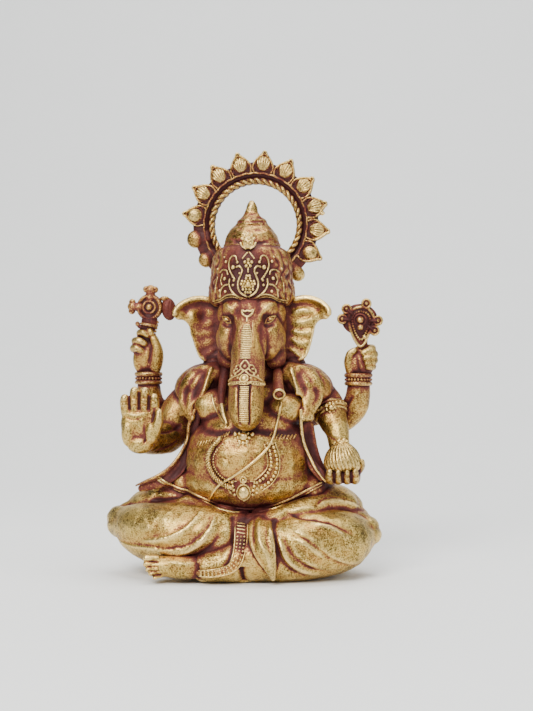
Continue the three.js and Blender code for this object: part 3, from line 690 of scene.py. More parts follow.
def make_torso():
    """The seat, belly, chest, shoulders and back in one mass."""
    bm = bmesh.new()
    ball(bm, (0, 4, 13), (24, 18, 17))
    ball(bm, (-1.2, -6, BELLY_HEIGHT), (22.5, 21, 20))
    ball(bm, (-1.2, -4, BELLY_HEIGHT + 8), (18.6, 16.5, 14))
    ball(bm, (-1.4, -6.4, 31.5), (23.4, 19.6, 11))
    ball(bm, (-21.5, -3, 30), (9.5, 13.5, 8.5), (24, "Y"))
    ball(bm, (19.5, -3, 28.5), (8, 13, 8), (-24, "Y"))
    ball(bm, (-12.4, -8.2, 55.6), (8.4, 7.6, 6.6), (18, "Y"))
    ball(bm, (11.0, -8.2, 54.6), (7.8, 7.4, 6.4), (-18, "Y"))
    ball(bm, (0, 0, 58), (19, 12.5, 10))
    ball(bm, (0, 2, 62.5), (21.5, 10.5, 8.2))
    ball(bm, (0, 6, 40), (20, 14.5, 31))
    ball(bm, (0, -1, 68), (9.5, 9, 8))
    for side in (RIGHT, LEFT):
        ball(bm, (side * 13.6, 0.5, 69.5), (4.6, 5, 4.6))
    skin = Skin(bm, BODY_GRAIN, soften=6)
    # the crease where the breasts end above the belly, and the lap's crease under it
    skin.stroke(
        [(-19, 52), (-14, 48.8), (-8, 48.2), (-1, 49.5), (8, 48.2), (14, 48.6), (17, 51)], 1.7, -1.0,
        stain_and_shade=0.8
    )
    skin.stroke([(-1, 62), (-1, 56), (-1, 50)], 2.6, -1.2, stain_and_shade=0.5)
    skin.swell((-1, -14, 52), (9, 8, 4), 0.0, stain_and_shade=0.9)
    for side in (RIGHT, LEFT):
        skin.swell((side * 15.5, -15, 46.5), (4.5, 8, 4.5), 0.0, stain_and_shade=0.75)
    skin.stroke([(-23, 29), (-14, 23.2), (-1.2, 20.4), (12, 23), (21, 28)], 1.8, -1.0, stain_and_shade=0.9)
    for k in range(5):
        side = (k - 2) * 7.0
        skin.stroke(
            [(side * 1.25, 66), (side, 50), (side * 1.1, 34), (side * 1.5, 18)], 1.5, -0.8, sight="back"
        )
        skin.stroke(
            [(side * 1.25 + 3.4, 66), (side + 3, 50), (side * 1.1 + 3.4, 34), (side * 1.5 + 4, 18)], 1.2,
            0.5, sight="back"
        )
    # red patina in the chest's middle and round the garland; along both shawl edges, where the gaps to the
    # arms lie in shadow, it is patina with painted shade
    skin.stroke([(-19, 60), (-20, 52), (-20.4, 45), (-22, 39), (-23, 33)], 1.6, 0.0, stain_and_shade=0.7)
    skin.stroke([(17, 60), (17.4, 52), (17.2, 45), (18.6, 39), (21, 33)], 1.6, 0.0, stain_and_shade=0.7)
    skin.stroke(
        [
            (-9.6, 45.7), (-13, 40.4), (-12.8, 37), (-10.9, 33.2), (-7.2, 29.8), (-1, 27), (4, 28), (8, 31),
            (10.4, 35), (11, 40), (9.6, 44)
        ],
        1.5, 0.0, stain_and_shade=0.45
    )
    skin.stroke(
        [(-8.4, 44), (-10, 40), (-9.4, 36), (-5, 32.4), (-1, 31), (3, 32), (6, 35.4), (6.6, 40), (6, 44)],
        1.3, 0.0, stain_and_shade=0.4
    )
    skin.stroke(
        [(-22, 27.4), (-14, 24.4), (-4, 22.6), (5, 22.8), (12, 24.8), (19, 28)], 1.6, 0.0, stain_and_shade=0.5
    )
    # the neck and the hollows beside the trunk
    for side in (RIGHT, LEFT):
        skin.swell((side * 10, -8, 65), (5, 10, 7), 0.0, stain_and_shade=1.2)
    skin.ease(1)
    cast("trunk_of_body", ["torso"], "figure_brass", skin, tone=0.0)
    return skin


# ---------------------------------------------------------------- legs under their cloth


def make_right_leg():
    """The right thigh, knee and shin under folded cloth."""
    bm = bmesh.new()
    limb(
        bm,
        [
            (-11, 7, 15, 14.4), (-23, 1, 16.4, 14.6), (-33, -5, 16.8, 12.8), (-39, -7.5, 17.4, 10.2),
            (-42.6, -8.5, 17.6, 6.4)
        ]
    )
    limb(
        bm,
        [
            (-42.6, -9.5, 17, 6.2), (-38, -12.6, 16, 8.6), (-32, -15.6, 14.8, 10.2),
            (-22, -18.8, 13.6, 11.4), (-8, -20, 14.2, 10), (-2, -18, 15, 7.4)
        ]
    )
    ball(bm, (-22, -4, 6), (15, 16, 6.4))
    ball(bm, (-27, -5, 26), (9, 10, 5.6))
    limb(
        bm,
        [
            (-33, -9, 23.5, 5.2), (-26, -12.4, 23.4, 5.2), (-18, -16.6, 21.6, 5.0), (-9, -21, 19.0, 4.6),
            (-1, -22.4, 17.6, 4.4)
        ]
    )
    skin = Skin(bm, soften=8)
    # upper crease and the cloth bunched over the hip
    skin.stroke([(-34, 25), (-30.3, 25.7), (-25.6, 26.4), (-21, 27.6)], 1.0, -1.5, sharp=True, stain_and_shade=0.5)
    skin.stroke([(-33, 31.8), (-29.1, 30.2), (-26, 28.6), (-22, 27.9)], 1.2, 1.3)
    skin.stroke([(-41.8, 28.6), (-38, 29.2), (-35, 28.8), (-31.6, 27.2)], 1.1, 0.8)
    # the folds that sweep from the lap to the knee
    skin.overlap(
        [(-14.5, 24), (-16.6, 20.9), (-18.1, 19.2), (-21.2, 16.9), (-25.9, 15), (-30, 14), (-35, 13.2)],
        0.5, 3.2
    )
    skin.stroke([(-15.4, 21.6), (-18.6, 17.9), (-22.6, 15.2), (-28.2, 13.8), (-33, 13.8)], 1.1, 0.5)
    skin.overlap(
        [
            (-9.6, 23), (-10.9, 20), (-12, 17.6), (-15, 14.4), (-18.1, 12.2), (-24.3, 10.9), (-32, 11.3),
            (-40, 11.4), (-45, 12.8)
        ],
        0.6, 3.6
    )
    skin.stroke([(-10.7, 17.6), (-13.8, 13.6), (-17.8, 10.6), (-22.5, 9.2), (-28.7, 9.6)], 0.9, 0.8)
    skin.stroke(
        [(-7.4, 20), (-9.4, 14.4), (-13, 10.4), (-18, 8.4), (-25, 8), (-31, 8.6)], 1.1, -1.1, sharp=True,
        stain_and_shade=0.1
    )
    skin.stroke([(-44, 20.2), (-38, 21.4), (-30, 21.2), (-24, 20.8)], 3.2, 0.5)
    skin.stroke([(-44, 16.8), (-36, 17.4), (-29, 17.8)], 2.4, 0.6)
    skin.swell((-47.5, -9, 17), (5, 6, 5), 0.8)
    skin.stroke([(-4.6, 21.5), (-4.2, 17.5), (-4.2, 13)], 0.9, -0.3, taper=0.1, stain_and_shade=0.8)
    # the far side and the back of the thigh
    for k, low in enumerate((22, 16, 10, 5)):
        skin.stroke(
            [(-18, low + 3), (-8, low + 1), (2, low + 2), (10, low + 4)], 1.2, -0.8 + 0.1 * k, sight="right"
        )
        skin.stroke([(-42, low), (-32, low + 2), (-22, low + 5), (-12, low + 9)], 1.2, -0.8, sight="back")
    skin.ease(1)
    cast("right_lap", ["right_leg"], "cloth_brass", skin)
    return skin


def make_left_leg():
    """The left thigh, knee and shin, which crosses in front."""
    bm = bmesh.new()
    limb(
        bm,
        [
            (11, 7, 14, 14), (21, 1, 15.4, 14.8), (28.5, -4, 15.8, 13.8), (33.5, -6.5, 15.2, 10.6),
            (37.8, -8.2, 14.4, 6)
        ]
    )
    limb(
        bm,
        [
            (37.6, -9, 13.8, 5.8), (32, -14, 12.8, 9.6), (26, -17.6, 12, 10.8), (17, -20.8, 11, 11),
            (8, -23, 9.6, 9.8), (-2, -25.8, 7.2, 7.2), (-13, -28.4, 5, 4.8)
        ]
    )
    ball(bm, (20, -4, 5.5), (15, 15, 6))
    ball(bm, (25.4, -5, 25), (9.6, 10, 5.4))
    limb(
        bm,
        [
            (31, -9, 23, 5.2), (24, -13, 22.6, 5.2), (16, -17.6, 20.8, 5.0), (8, -21.4, 18.6, 4.6),
            (0, -22.6, 17.4, 4.4)
        ]
    )
    skin = Skin(bm, soften=8)
    skin.stroke([(19, 28.5), (22.6, 29.6), (27.5, 30.4), (31.6, 30), (34.4, 28.2), (37, 25)], 1.2, 0.9)
    skin.overlap(
        [(37.8, 22), (34.4, 24.6), (30.2, 25.9), (26.8, 26.2), (24, 25.4), (22, 23.6)], 0.7, 2.4, stain_and_shade=0.3
    )
    skin.stroke([(14, 22.8), (19.3, 23.3), (24, 23)], 1.1, 0.7)
    skin.stroke(
        [(12, 23), (15.5, 21.6), (18.9, 21), (22.6, 20.4), (27.7, 19.2), (32, 17), (36.5, 14.6)], 1.0, -1.1,
        sharp=True, stain_and_shade=0.1
    )
    skin.stroke([(20.3, 19.6), (24.3, 18.8), (27.7, 17.9), (32, 15.8)], 1.1, 1.0)
    skin.overlap(
        [
            (14.5, 18), (16.4, 16.6), (19.7, 15), (23.1, 12.4), (26.4, 9.6), (29.7, 7.4), (34.4, 5.8),
            (38.5, 6.6)
        ],
        0.55, 3.2
    )
    skin.stroke([(15.6, 15.4), (19.8, 13), (22.8, 10.9), (26, 8.2)], 0.9, 0.8)
    skin.stroke(
        [(9, 17), (9.7, 13.6), (11.3, 9.6), (13.3, 6.3), (16.3, 3.8), (20, 2.0)], 1.0, -1.0, sharp=True,
        stain_and_shade=0.1
    )
    skin.stroke([(10.6, 15.5), (12.6, 9.8), (15.4, 6.4), (19.2, 4.2), (24, 2.8)], 0.8, 0.9)
    skin.stroke([(11.6, 17), (14.3, 11.6), (17.2, 8.2), (21.4, 5.2), (27, 3.4)], 0.9, -1.0, sharp=True)
    skin.stroke([(14.9, 12.3), (17, 9), (20.2, 6.6), (25, 5)], 1.0, 0.6)
    skin.swell((33, -17, 12), (7, 6, 5), 0.7)
    # red beside the hanging sashes
    for line in (
        [(1.2, 20.4), (1.2, 16), (2.6, 11.6), (5.0, 7.6), (7.6, 3.6)],
        [(9.0, 21), (9.4, 17), (10.2, 13), (10.6, 9), (10.2, 4.4)],
        [(-4.3, 21), (-3.4, 13.5), (-4.2, 9), (-6, 5.8)]
    ):
        skin.stroke(line, 0.9, -0.3, taper=0.1, stain_and_shade=1.0)
    # the notch between the knees' cloth, and the hem above the foot
    skin.stroke([(-0.8, 6), (-0.6, 3), (-0.4, 0.4)], 1.0, -1.6, sharp=True, taper=0.05, stain_and_shade=0.4)
    skin.stroke([(-15.5, 6.8), (-14.6, 4), (-14.8, 0.8)], 0.8, -0.8, sharp=True, taper=0.05, stain_and_shade=0.3)
    for k, low in enumerate((21, 15, 9, 4)):
        skin.stroke(
            [(-18, low + 3), (-8, low + 1), (2, low + 2), (10, low + 4)], 1.2, -0.8 + 0.1 * k, sight="left"
        )
        skin.stroke([(38, low), (29, low + 2), (20, low + 5), (12, low + 9)], 1.2, -0.8, sight="back")
    skin.ease(1)
    cast("left_lap", ["left_leg"], "cloth_brass", skin)
    return skin


# ---------------------------------------------------------------- head and trunk


def make_head():
    """The face and trunk with the brow mark, the eyes and both ladders of rungs."""
    bm = bmesh.new()
    ball(bm, (0, -4, 83), (11.6, 12.4, 12.6))
    limb(
        bm,
        [
            (0, -11, 88, 7.4), (0, -15.6, 80, 6.4), (0, -19.6, 72.4, 5.7), (0, -23.6, 64.5, 5.75),
            (0, -26.6, 58, 5.7), (0, -27, 54.3, 5.4), (0, -23.4, 52.6, 4.0)
        ]
    )
    for side in (RIGHT, LEFT):
        ball(bm, (side * 7.6, -8.4, 87.6), (4.0, 5.2, 5.4))
        ball(bm, (side * 7.1, -10.2, 79.2), (4.7, 5.8, 6.6))
        ball(bm, (side * 8.2, -8, 73), (3.6, 5, 4.6))
        ball(bm, (side * 6.0, -12.4, 80), (5.0, 5.4, 8.4))
        ball(bm, (side * 4.2, -12.6, 88.6), (5.2, 5.2, 4.6))
    skin = Skin(bm, FINE_GRAIN, soften=7)
    for side in (RIGHT, LEFT):
        mirror = functools.partial(mirrored, side, HEAD_MIDDLE)
        skin.swell((side * 6.9 + HEAD_MIDDLE, -16.5, 85.1), (2.6, 3.5, 2.0), -0.8, stain_and_shade=0.25)
        skin.stroke(mirror((3.6, 83), (4.0, 85.4), (5.0, 87.6), (7.0, 89.8), (10, 91)), 0.8, 0.45)
        skin.stroke(
            mirror((4.4, 84.4), (4.7, 81.5), (5.1, 78), (5.8, 74.5), (6.4, 71)), 1.3, -0.45, stain_and_shade=0.2
        )
        skin.stroke(mirror((2.7, 86), (2.5, 83.6), (2.9, 80), (3.2, 76)), 0.9, 0.15)
        skin.swell((side * 7.4 + HEAD_MIDDLE, -16.6, 80.4), (2.6, 3, 2.7), 0.7)
        skin.stroke(mirror((5.4, 83.2), (7.2, 82.9), (9, 83.9)), 0.5, -0.45, stain_and_shade=0.1)
        skin.stroke(mirror((9.8, 88), (10.4, 84), (10, 80), (9.6, 76)), 1.0, -0.15)
        skin.swell((side * 9.4, -10.5, 72), (2.6, 4, 5), -0.3, stain_and_shade=0.7)
        skin.stroke(mirror((5, 83.4), (5.8, 86.6), (7.6, 87.6), (9.8, 87.2)), 0.5, 0.0, stain_and_shade=0.2)
        skin.stroke(mirror((5.2, 83.6), (7.2, 83.4), (9.4, 85.4)), 0.5, 0.0, stain_and_shade=0.2)
    # dark grounds under the mark, both ladders and the hanging ornament
    skin.swell((-0.3, -20, 87), (2.6, 6, 1.8), 0.0, stain_and_shade=0.5)
    skin.swell((-0.3, -26, 68.2), (3.6, 8, 2.6), 0.0, stain_and_shade=0.8)
    skin.stroke([(-0.35, 83), (-0.35, 77), (-0.35, 71)], 1.5, 0.0, taper=0.05, stain_and_shade=0.6)
    skin.stroke([(-0.1, 64), (-0.1, 58), (0, 52)], 1.2, 0.0, taper=0.05, stain_and_shade=0.45)
    skin.stroke([(-6.4, 64.3), (0, 63.4), (6, 64.3)], 0.9, 0.0, taper=0.05, stain_and_shade=0.6)
    skin.settle()
    detail, eyes = bmesh.new(), bmesh.new()
    for side in (RIGHT, LEFT):
        mirror = functools.partial(mirrored, side, HEAD_MIDDLE)
        skin.wire(eyes, mirror((5.7, 84.0), (6.2, 85.4), (7.3, 86.2), (8.9, 86.4)), 0.24)
        skin.wire(eyes, mirror((5.7, 84.0), (6.9, 84.1), (8.0, 84.9), (8.9, 86.4)), 0.2)
        eye = skin.spot(side * 7.2 + HEAD_MIDDLE, 85.3)
        ball(eyes, eye[0], (1.0, 0.5, 0.65), (-side * 28, "Y"), 16, 10)
    # the small mark above the trunk and the ladder of rungs below it
    mark = [
        (-2.1, 88.2), (-1.2, 87.7), (-0.3, 88.0), (0.6, 87.7), (1.5, 88.2), (1.2, 86.9), (-0.3, 85.9),
        (-1.8, 86.9)
    ]
    skin.wire(detail, mark, 0.38, closed=True, per_span=3)
    skin.wire(detail, [(-0.3, 86.0), (-0.3, 85.2), (-0.3, 84.4)], 0.34)
    for k in range(RUNGS):
        z = 72.3 + RUNG_STEP * k
        reach = 1.5 if z < 81.2 else 1.5 - 0.35 * (z - 81.2)
        rung = [(HEAD_MIDDLE - reach, z), (HEAD_MIDDLE, z + 0.05), (HEAD_MIDDLE + reach, z)]
        skin.wire(detail, rung, 0.23, sides=5, per_span=2)
    skin.wire(detail, [(1.6, 84), (1.5, 80), (1.35, 76)], 0.16, sides=5)
    for side in (RIGHT, LEFT):
        groove = [(-0.2 + side * 1.9, 64.4), (-0.1 + side * 1.85, 58), (side * 1.8, 53), (side * 1.4, 50.6)]
        skin.stroke(groove, 0.45, -0.8, taper=0.1, stain_and_shade=0.35)
    for k in range(RUNGS):
        z = 52.2 + RUNG_STEP * k
        skin.wire(detail, [(-1.35, z), (-0.1, z), (1.15, z)], 0.22, sides=5, per_span=2)
    skin.swell((0, -30, 51), (6, 8, 2.2), 0.0, stain_and_shade=0.1)
    cast(
        "head_and_trunk", ["head", "trunk"], "figure_brass", skin, [(detail, -0.2), (eyes, 0.45)], tone=0.42
    )
    return skin


def make_trunk_band(face):
    """The beaded strap round the trunk and the ornament that hangs over it."""
    bm = bmesh.new()
    # a beaded strap round the trunk
    angles = np.linspace(0, 2 * math.pi, 48, endpoint=False)
    for drop, thick in ((0.0, 0.22), (1.0, 0.22)):
        around = [
            (8 * math.sin(a), -23.6 - 8 * math.cos(a), 64.5 + 1.0 * math.cos(a) - drop) for a in angles
        ]
        sweep(bm, face.hug(around, 0.15), thick, 6, closed=True)
    strap = face.hug(
        [(8 * math.sin(a), -23.6 - 8 * math.cos(a), 63.9 + 1.0 * math.cos(a)) for a in angles], 0.15
    )
    for at in paced(strap, 0.95):
        bead(bm, at, 0.32)
    # the hanging triangle: a loop, two scrolls and a round jewel
    face.wire(
        bm, [(-0.3, 71.5), (-1.5, 70.3), (-1.6, 69.1), (-0.3, 68.2), (1.0, 69.1), (0.9, 70.3)], 0.3,
        closed=True
    )
    for side in (RIGHT, LEFT):
        mirror = functools.partial(mirrored, side, ORNAMENT_MIDDLE)
        face.wire(bm, mirror((1.1, 69.0), (2.3, 67.8), (3.4, 67.5), (3.3, 68.6), (2.4, 68.8)), 0.27)
        face.wire(bm, mirror((0.4, 68.0), (1.6, 66.9), (3.2, 66.4), (4.6, 65.6), (5.4, 64.9)), 0.27)
        face.wire(bm, mirror((1.5, 70.0), (2.5, 69.9), (2.9, 69.3)), 0.24)
        face.stud(bm, side * 2.9 + ORNAMENT_MIDDLE, 67.0, 0.42)
        face.stud(bm, side * 4.1 + ORNAMENT_MIDDLE, 66.6, 0.36)
        face.stud(bm, side * 2.0 + ORNAMENT_MIDDLE, 65.9, 0.4)
    face.stud(bm, ORNAMENT_MIDDLE, 69.6, 0.5)
    centre = face.spot(ORNAMENT_MIDDLE, 65.6)
    ball(bm, centre[0], (1.15, 0.8, 1.15), across=16, down=10)
    ring(bm, centre[0] + centre[1] * 0.45, 1.3, 0.28, centre[1])
    cast("trunk_strap", ["trunk_band"], "ornament_brass", None, [(bm, 0.0)])


def make_tusks():
    """The whole right tusk and the left one, broken off to a ring."""
    bm = bmesh.new()
    line = curve(
        [(-8.4, -6, 72), (-9.2, -10.4, 66), (-9.4, -15.6, 59.4), (-8.2, -20.4, 54.6), (-6.8, -22.6, 51.4)],
        8
    )
    radius = np.interp(np.linspace(0, 1, len(line)), [0, 0.3, 1], [1.8, 1.5, 0.55])
    # the upper stem lies in shadow beside the trunk; its heavy red is painted shade
    root_bm = bmesh.new()
    sweep(root_bm, line[:21], radius[:21], 14)
    sweep(bm, line[20:], radius[20:], 14)
    cast("whole_tusk", ["right_tusk"], "figure_brass", None, [(root_bm, 1.7), (bm, 0.2)])
    bm = bmesh.new()
    root, end = np.array([8.6, -7, 69.4]), np.array([10.2, -20.6, 60.6])
    facing = (end - root) / np.linalg.norm(end - root)
    line = curve([root, (9.3, -13.8, 65.2), end], 6)
    # the stem behind the ring lies in shadow; its heavy red is painted shade
    middle = bmesh.new()
    sweep(middle, line, np.linspace(1.5, 1.85, len(line)), 20, ends=False)
    ring(bm, end, 1.75, 0.45, facing, 28, 8)
    ball(middle, end - facing * 1.1, (1.6, 1.6, 1.6), across=20, down=12)
    cast("broken_tusk", ["left_tusk_stub"], "figure_brass", None, [(bm, 0.1), (middle, 1.2)])


# ---------------------------------------------------------------- ears


def make_ear(side):
    """A fan of folds behind a rolled upper rim; the outline is the left ear's, mirrored for the right."""
    shift = 0.0 if side == LEFT else -0.6
    fold = 1.0 if side == LEFT else 0.4  # the right one is smoother
    outline = [
        (9.5, 91.5), (14.4, 92.8), (17.6, 93.5), (21, 93.1), (24.0, 91.6), (26.0, 89.2), (26.3, 87.3),
        (25.3, 86.1)
    ]
    outline += [
        (23.6, 86.0), (21.5, 84.2), (20.5, 80.6), (19.3, 76.8), (17.7, 73), (14.8, 71.2), (10, 72.5)
    ]
    bm = bmesh.new()
    plate(bm, [(side * x + shift, z) for x, z in curve(outline, 5)], -3.0, -0.6)
    bmesh.ops.triangulate(bm, faces=bm.faces)
    skin = Skin(bm, FINE_GRAIN, soften=4)
    mirror = functools.partial(mirrored, side, shift)
    if side == RIGHT:
        skin.swell((-18, -3, 80), (4.5, 4, 8), -0.3, stain_and_shade=0.35)
        skin.swell((-20.6, -3, 87), (2.0, 2.4, 2.4), 1.5, stain_and_shade=-0.3)
        skin.swell((-17.4, -3, 87.6), (2.4, 2.4, 3.0), -0.6, stain_and_shade=0.5)
    # the fan: ridges run out from the ear's root, with hollows between them
    skin.stroke(
        mirror((13.4, 90.2), (17, 91), (20.6, 90.0), (23, 88)), 1.1, -0.6 * fold, stain_and_shade=0.1, taper=0.1
    )
    skin.stroke(mirror((13, 87.8), (16.6, 89), (19.6, 88.6)), 0.9, 0.4 * fold)
    skin.stroke(mirror((13, 86.2), (16.5, 86.8), (19.5, 87.2), (21.8, 87.6)), 0.8, -0.3 * fold)
    skin.stroke(mirror((13, 84.6), (17.4, 84.9), (20.6, 86.2), (22.6, 87.2)), 0.8, 0.4 * fold)
    skin.stroke(mirror((12.6, 83.2), (16, 82.8), (20.8, 83.2)), 0.7, -0.22 * fold)
    skin.stroke(mirror((12.6, 82.2), (16.6, 81.2), (20.6, 81.4)), 0.8, 0.32 * fold)
    skin.stroke(mirror((12.4, 80.8), (16, 79.6), (20, 79.4)), 0.7, -0.2 * fold)
    skin.stroke(mirror((12.2, 79.6), (15.8, 77.8), (19.6, 77.4)), 0.8, 0.3 * fold)
    skin.stroke(mirror((12, 78), (15.4, 76), (19, 75.2)), 0.7, -0.2 * fold)
    skin.stroke(mirror((11.8, 76.6), (15, 74.2), (17.6, 72.8)), 0.8, 0.35 * fold)
    skin.stroke(mirror((12.6, 92), (12.8, 86), (12.6, 80), (12, 74)), 1.5, -0.4, stain_and_shade=0.35, taper=0.05)
    # the rolled rim and its drooping end
    skin.stroke(
        mirror((13.2, 92.3), (17.4, 93), (21, 92.4), (23.9, 90.8), (25.6, 88.8), (25.6, 87)), 0.85, 1.1,
        taper=0.05
    )
    skin.stroke(
        mirror((13.2, 92.6), (17.4, 93.2), (21, 92.8), (24, 91.2), (25.8, 89)), 0.8, 0.7, sight="back",
        taper=0.05
    )
    skin.swell((side * 24.2 + shift, -3, 87.4), (1.6, 2, 1.5), 0.8)
    skin.stroke(
        mirror((21.6, 84.6), (20.6, 80.8), (19.4, 77), (17.6, 73.2), (15, 71.6)), 0.6, 0.5, taper=0.1
    )
    for lift, out in ((88, 20), (84, 19.5), (80, 18.5), (76, 17)):
        skin.stroke(mirror((12.5, lift - 2), (16, lift - 0.6), (out, lift)), 1.0, -0.5, sight="back")
    # it turns forward a little towards its tip
    skin.co[:, 1] -= 0.014 * np.maximum(side * skin.co[:, 0] - 13, 0) ** 2
    name = "left_ear" if side == LEFT else "right_ear"
    cast(name + "_fan", [name], "figure_brass", skin, tone=0.35 if side == RIGHT else -0.1)


# ---------------------------------------------------------------- headdress and crown


def make_headdress():
    """The tall cap of combed locks that carries the crown."""
    bm = bmesh.new()
    profile = [
        (12.6, 90.6), (14.3, 92.2), (14.7, 94.5), (14.4, 97), (13.9, 100), (13.6, 103.4), (13.2, 106.4),
        (12.0, 109), (9.8, 110.6)
    ]
    turned(bm, CROWN_AXIS, curve(profile, 4))
    skin = Skin(bm, FINE_GRAIN, soften=3)
    # wavy locks, combed upwards
    around = np.arctan2(skin.co[:, 0] + 0.5, -skin.co[:, 1] - 3)
    height = skin.co[:, 2]
    locks = np.abs(
        np.sin(13 * around + 0.9 * np.sin(height / 1.9) + 0.5 * np.sin(height * 1.1 + 5 * around))
    )
    plain = np.clip((np.abs(around) - 0.55) / 0.3, 0, 1) * np.clip((110 - height) / 1.5, 0, 1)
    skin.co += skin.normal * (0.55 * (locks**0.7 - 0.6) * plain)[:, None]
    knots = np.sin(1.9 * height) * np.sin(9 * around + 1)
    skin.co += skin.normal * (0.2 * knots * plain)[:, None]
    skin.swell((-0.4, -17, 98.6), (8.2, 5, 7.0), 0.0, stain_and_shade=1.6)
    skin.stroke([(-14, 91.6), (-7, 92.4), (0, 92), (7, 92.4), (13, 91.6)], 0.8, -0.6, stain_and_shade=0.5)
    skin.settle()
    cast("hair", ["headdress"], "ornament_brass", skin, tone=0.6)
    return skin


def make_tiara(hair):
    """The raised tracery on the crown's front, and the small palmette above it."""
    bm = bmesh.new()
    berries = [
        (5.0, 102.6, 0.75), (7.5, 104.6, 0.5), (9.5, 95.1, 0.5), (4.7, 98.2, 0.45), (5.1, 99.5, 0.42)
    ]
    berries += [(5.0, 96.6, 0.45), (3.6, 104.3, 0.5), (7.9, 98.9, 0.6), (7.6, 94.6, 0.5)]
    berries += [(2.9, 100.6, 0.36), (10.6, 102.4, 0.4), (8.1, 106.2, 0.36)]
    rows = ((94.2, 0.8), (95.1, 1.6), (96.0, 2.1), (96.9, 2.2), (97.8, 1.9), (98.7, 1.2), (99.6, 0.5))

    def wire(points, thick=0.3):
        hair.wire(bm, points, thick)

    for side in (RIGHT, LEFT):
        mirror = functools.partial(mirrored, side, ORNAMENT_MIDDLE)
        # the lyre round the middle jewel
        wire(
            mirror(
                (3.9, 102.7), (2.9, 102.9), (2.0, 101.6), (2.6, 99.6), (3.3, 97.6), (3.2, 95.6),
                (2.2, 93.9), (0.4, 92.9)
            ),
            0.34
        )
        # its outer frame, with a curl at the top
        wire(
            mirror(
                (3.9, 105.0), (4.2, 106.2), (5.4, 106.4), (6.4, 105), (6.5, 102.6), (5.6, 100.4),
                (4.4, 98.6)
            ),
            0.3
        )
        wire(mirror((6.2, 98.6), (6.3, 96.6), (5.3, 94.5), (3.2, 92.9), (0.3, 92.0)), 0.3)
        # the outer leaf curl
        wire(mirror((6.9, 100.4), (7.3, 101.6), (8.6, 102), (9.8, 101.2)), 0.28)
        wire(mirror((9.6, 93.0), (9.2, 95.3), (8.2, 96.6), (7.0, 96.9)), 0.3)
        wire(mirror((8.9, 100.4), (9.4, 98.4), (9.0, 96.9)), 0.26)
        wire(mirror((10.6, 99.6), (11.2, 97.2), (11.4, 94.6)), 0.24)
        for x, z, r in berries:
            hair.stud(bm, side * x + ORNAMENT_MIDDLE, z, r)
        # the brow line in two arches
        wire(mirror((0.0, 91.75), (2.2, 92.5), (4.8, 93.5), (7.4, 93.4), (9.8, 92.3), (12.4, 91.9)), 0.28)
        wire(mirror((0.0, 91.05), (2.2, 91.8), (4.8, 92.8), (7.4, 92.7), (9.8, 91.6), (12.4, 91.3)), 0.22)
    # the jewel: a dense cluster of beads in a pear shape
    for row, (z, half) in enumerate(rows):
        count = max(int(half / 0.42), 1)
        for k in range(-count, count + 1):
            if (k + row) % 2 == 0 or half < 1:
                hair.stud(bm, ORNAMENT_MIDDLE + k * half / count, z, 0.5)
    hair.stud(bm, ORNAMENT_MIDDLE, 96.6, 1.0, flat=0.9)
    # the flower over it
    for angle in turn_angles(5):
        hair.stud(bm, ORNAMENT_MIDDLE + 1.15 * math.sin(angle), 103.9 + 1.15 * math.cos(angle), 0.58)
    hair.stud(bm, ORNAMENT_MIDDLE, 103.9, 0.6)
    wire([(-0.3, 101.0), (-0.3, 102.4)], 0.3)
    for side in (RIGHT, LEFT):
        wire([(-0.3 + side * 0.3, 107.6), (-0.3 + side * 1.4, 106.2), (-0.3 + side * 1.9, 105.6)], 0.26)
    cast("tiara", ["tiara_plate"], "ornament_brass", None, [(bm, 0.1)])

    bm = bmesh.new()
    centre = np.array([-0.4, -15.9, 111.0])
    ball(bm, centre, (2.0, 1.1, 2.3), across=16, down=10)
    for angle in (-64, -32, 0, 32, 64):
        turn = math.radians(angle)
        at = centre + np.array([2.0 * math.sin(turn), -0.2, 2.5 * math.cos(turn)])
        ball(bm, at, (0.5, 0.6, 0.8), (angle, "Y"), 10, 7)
    for angle in turn_angles(6):
        bead(bm, centre + (1.0 * math.sin(angle), -0.9, 1.1 * math.cos(angle)), 0.42)
    bead(bm, centre + (0, -1.1, 0), 0.55)
    for side in (RIGHT, LEFT):
        curl = [(side * 0.8, -0.3, -2.2), (side * 2.0, -0.2, -1.3), (side * 2.5, -0.1, -0.2)]
        sweep(bm, curve([centre + step for step in curl], 4), 0.32, 6)
    ball(bm, centre + (0, 1.6, -0.4), (2.0, 2.4, 2.0))
    cast("palmette", ["tiara_palmette"], "ornament_brass", None, [(bm, -0.2)])


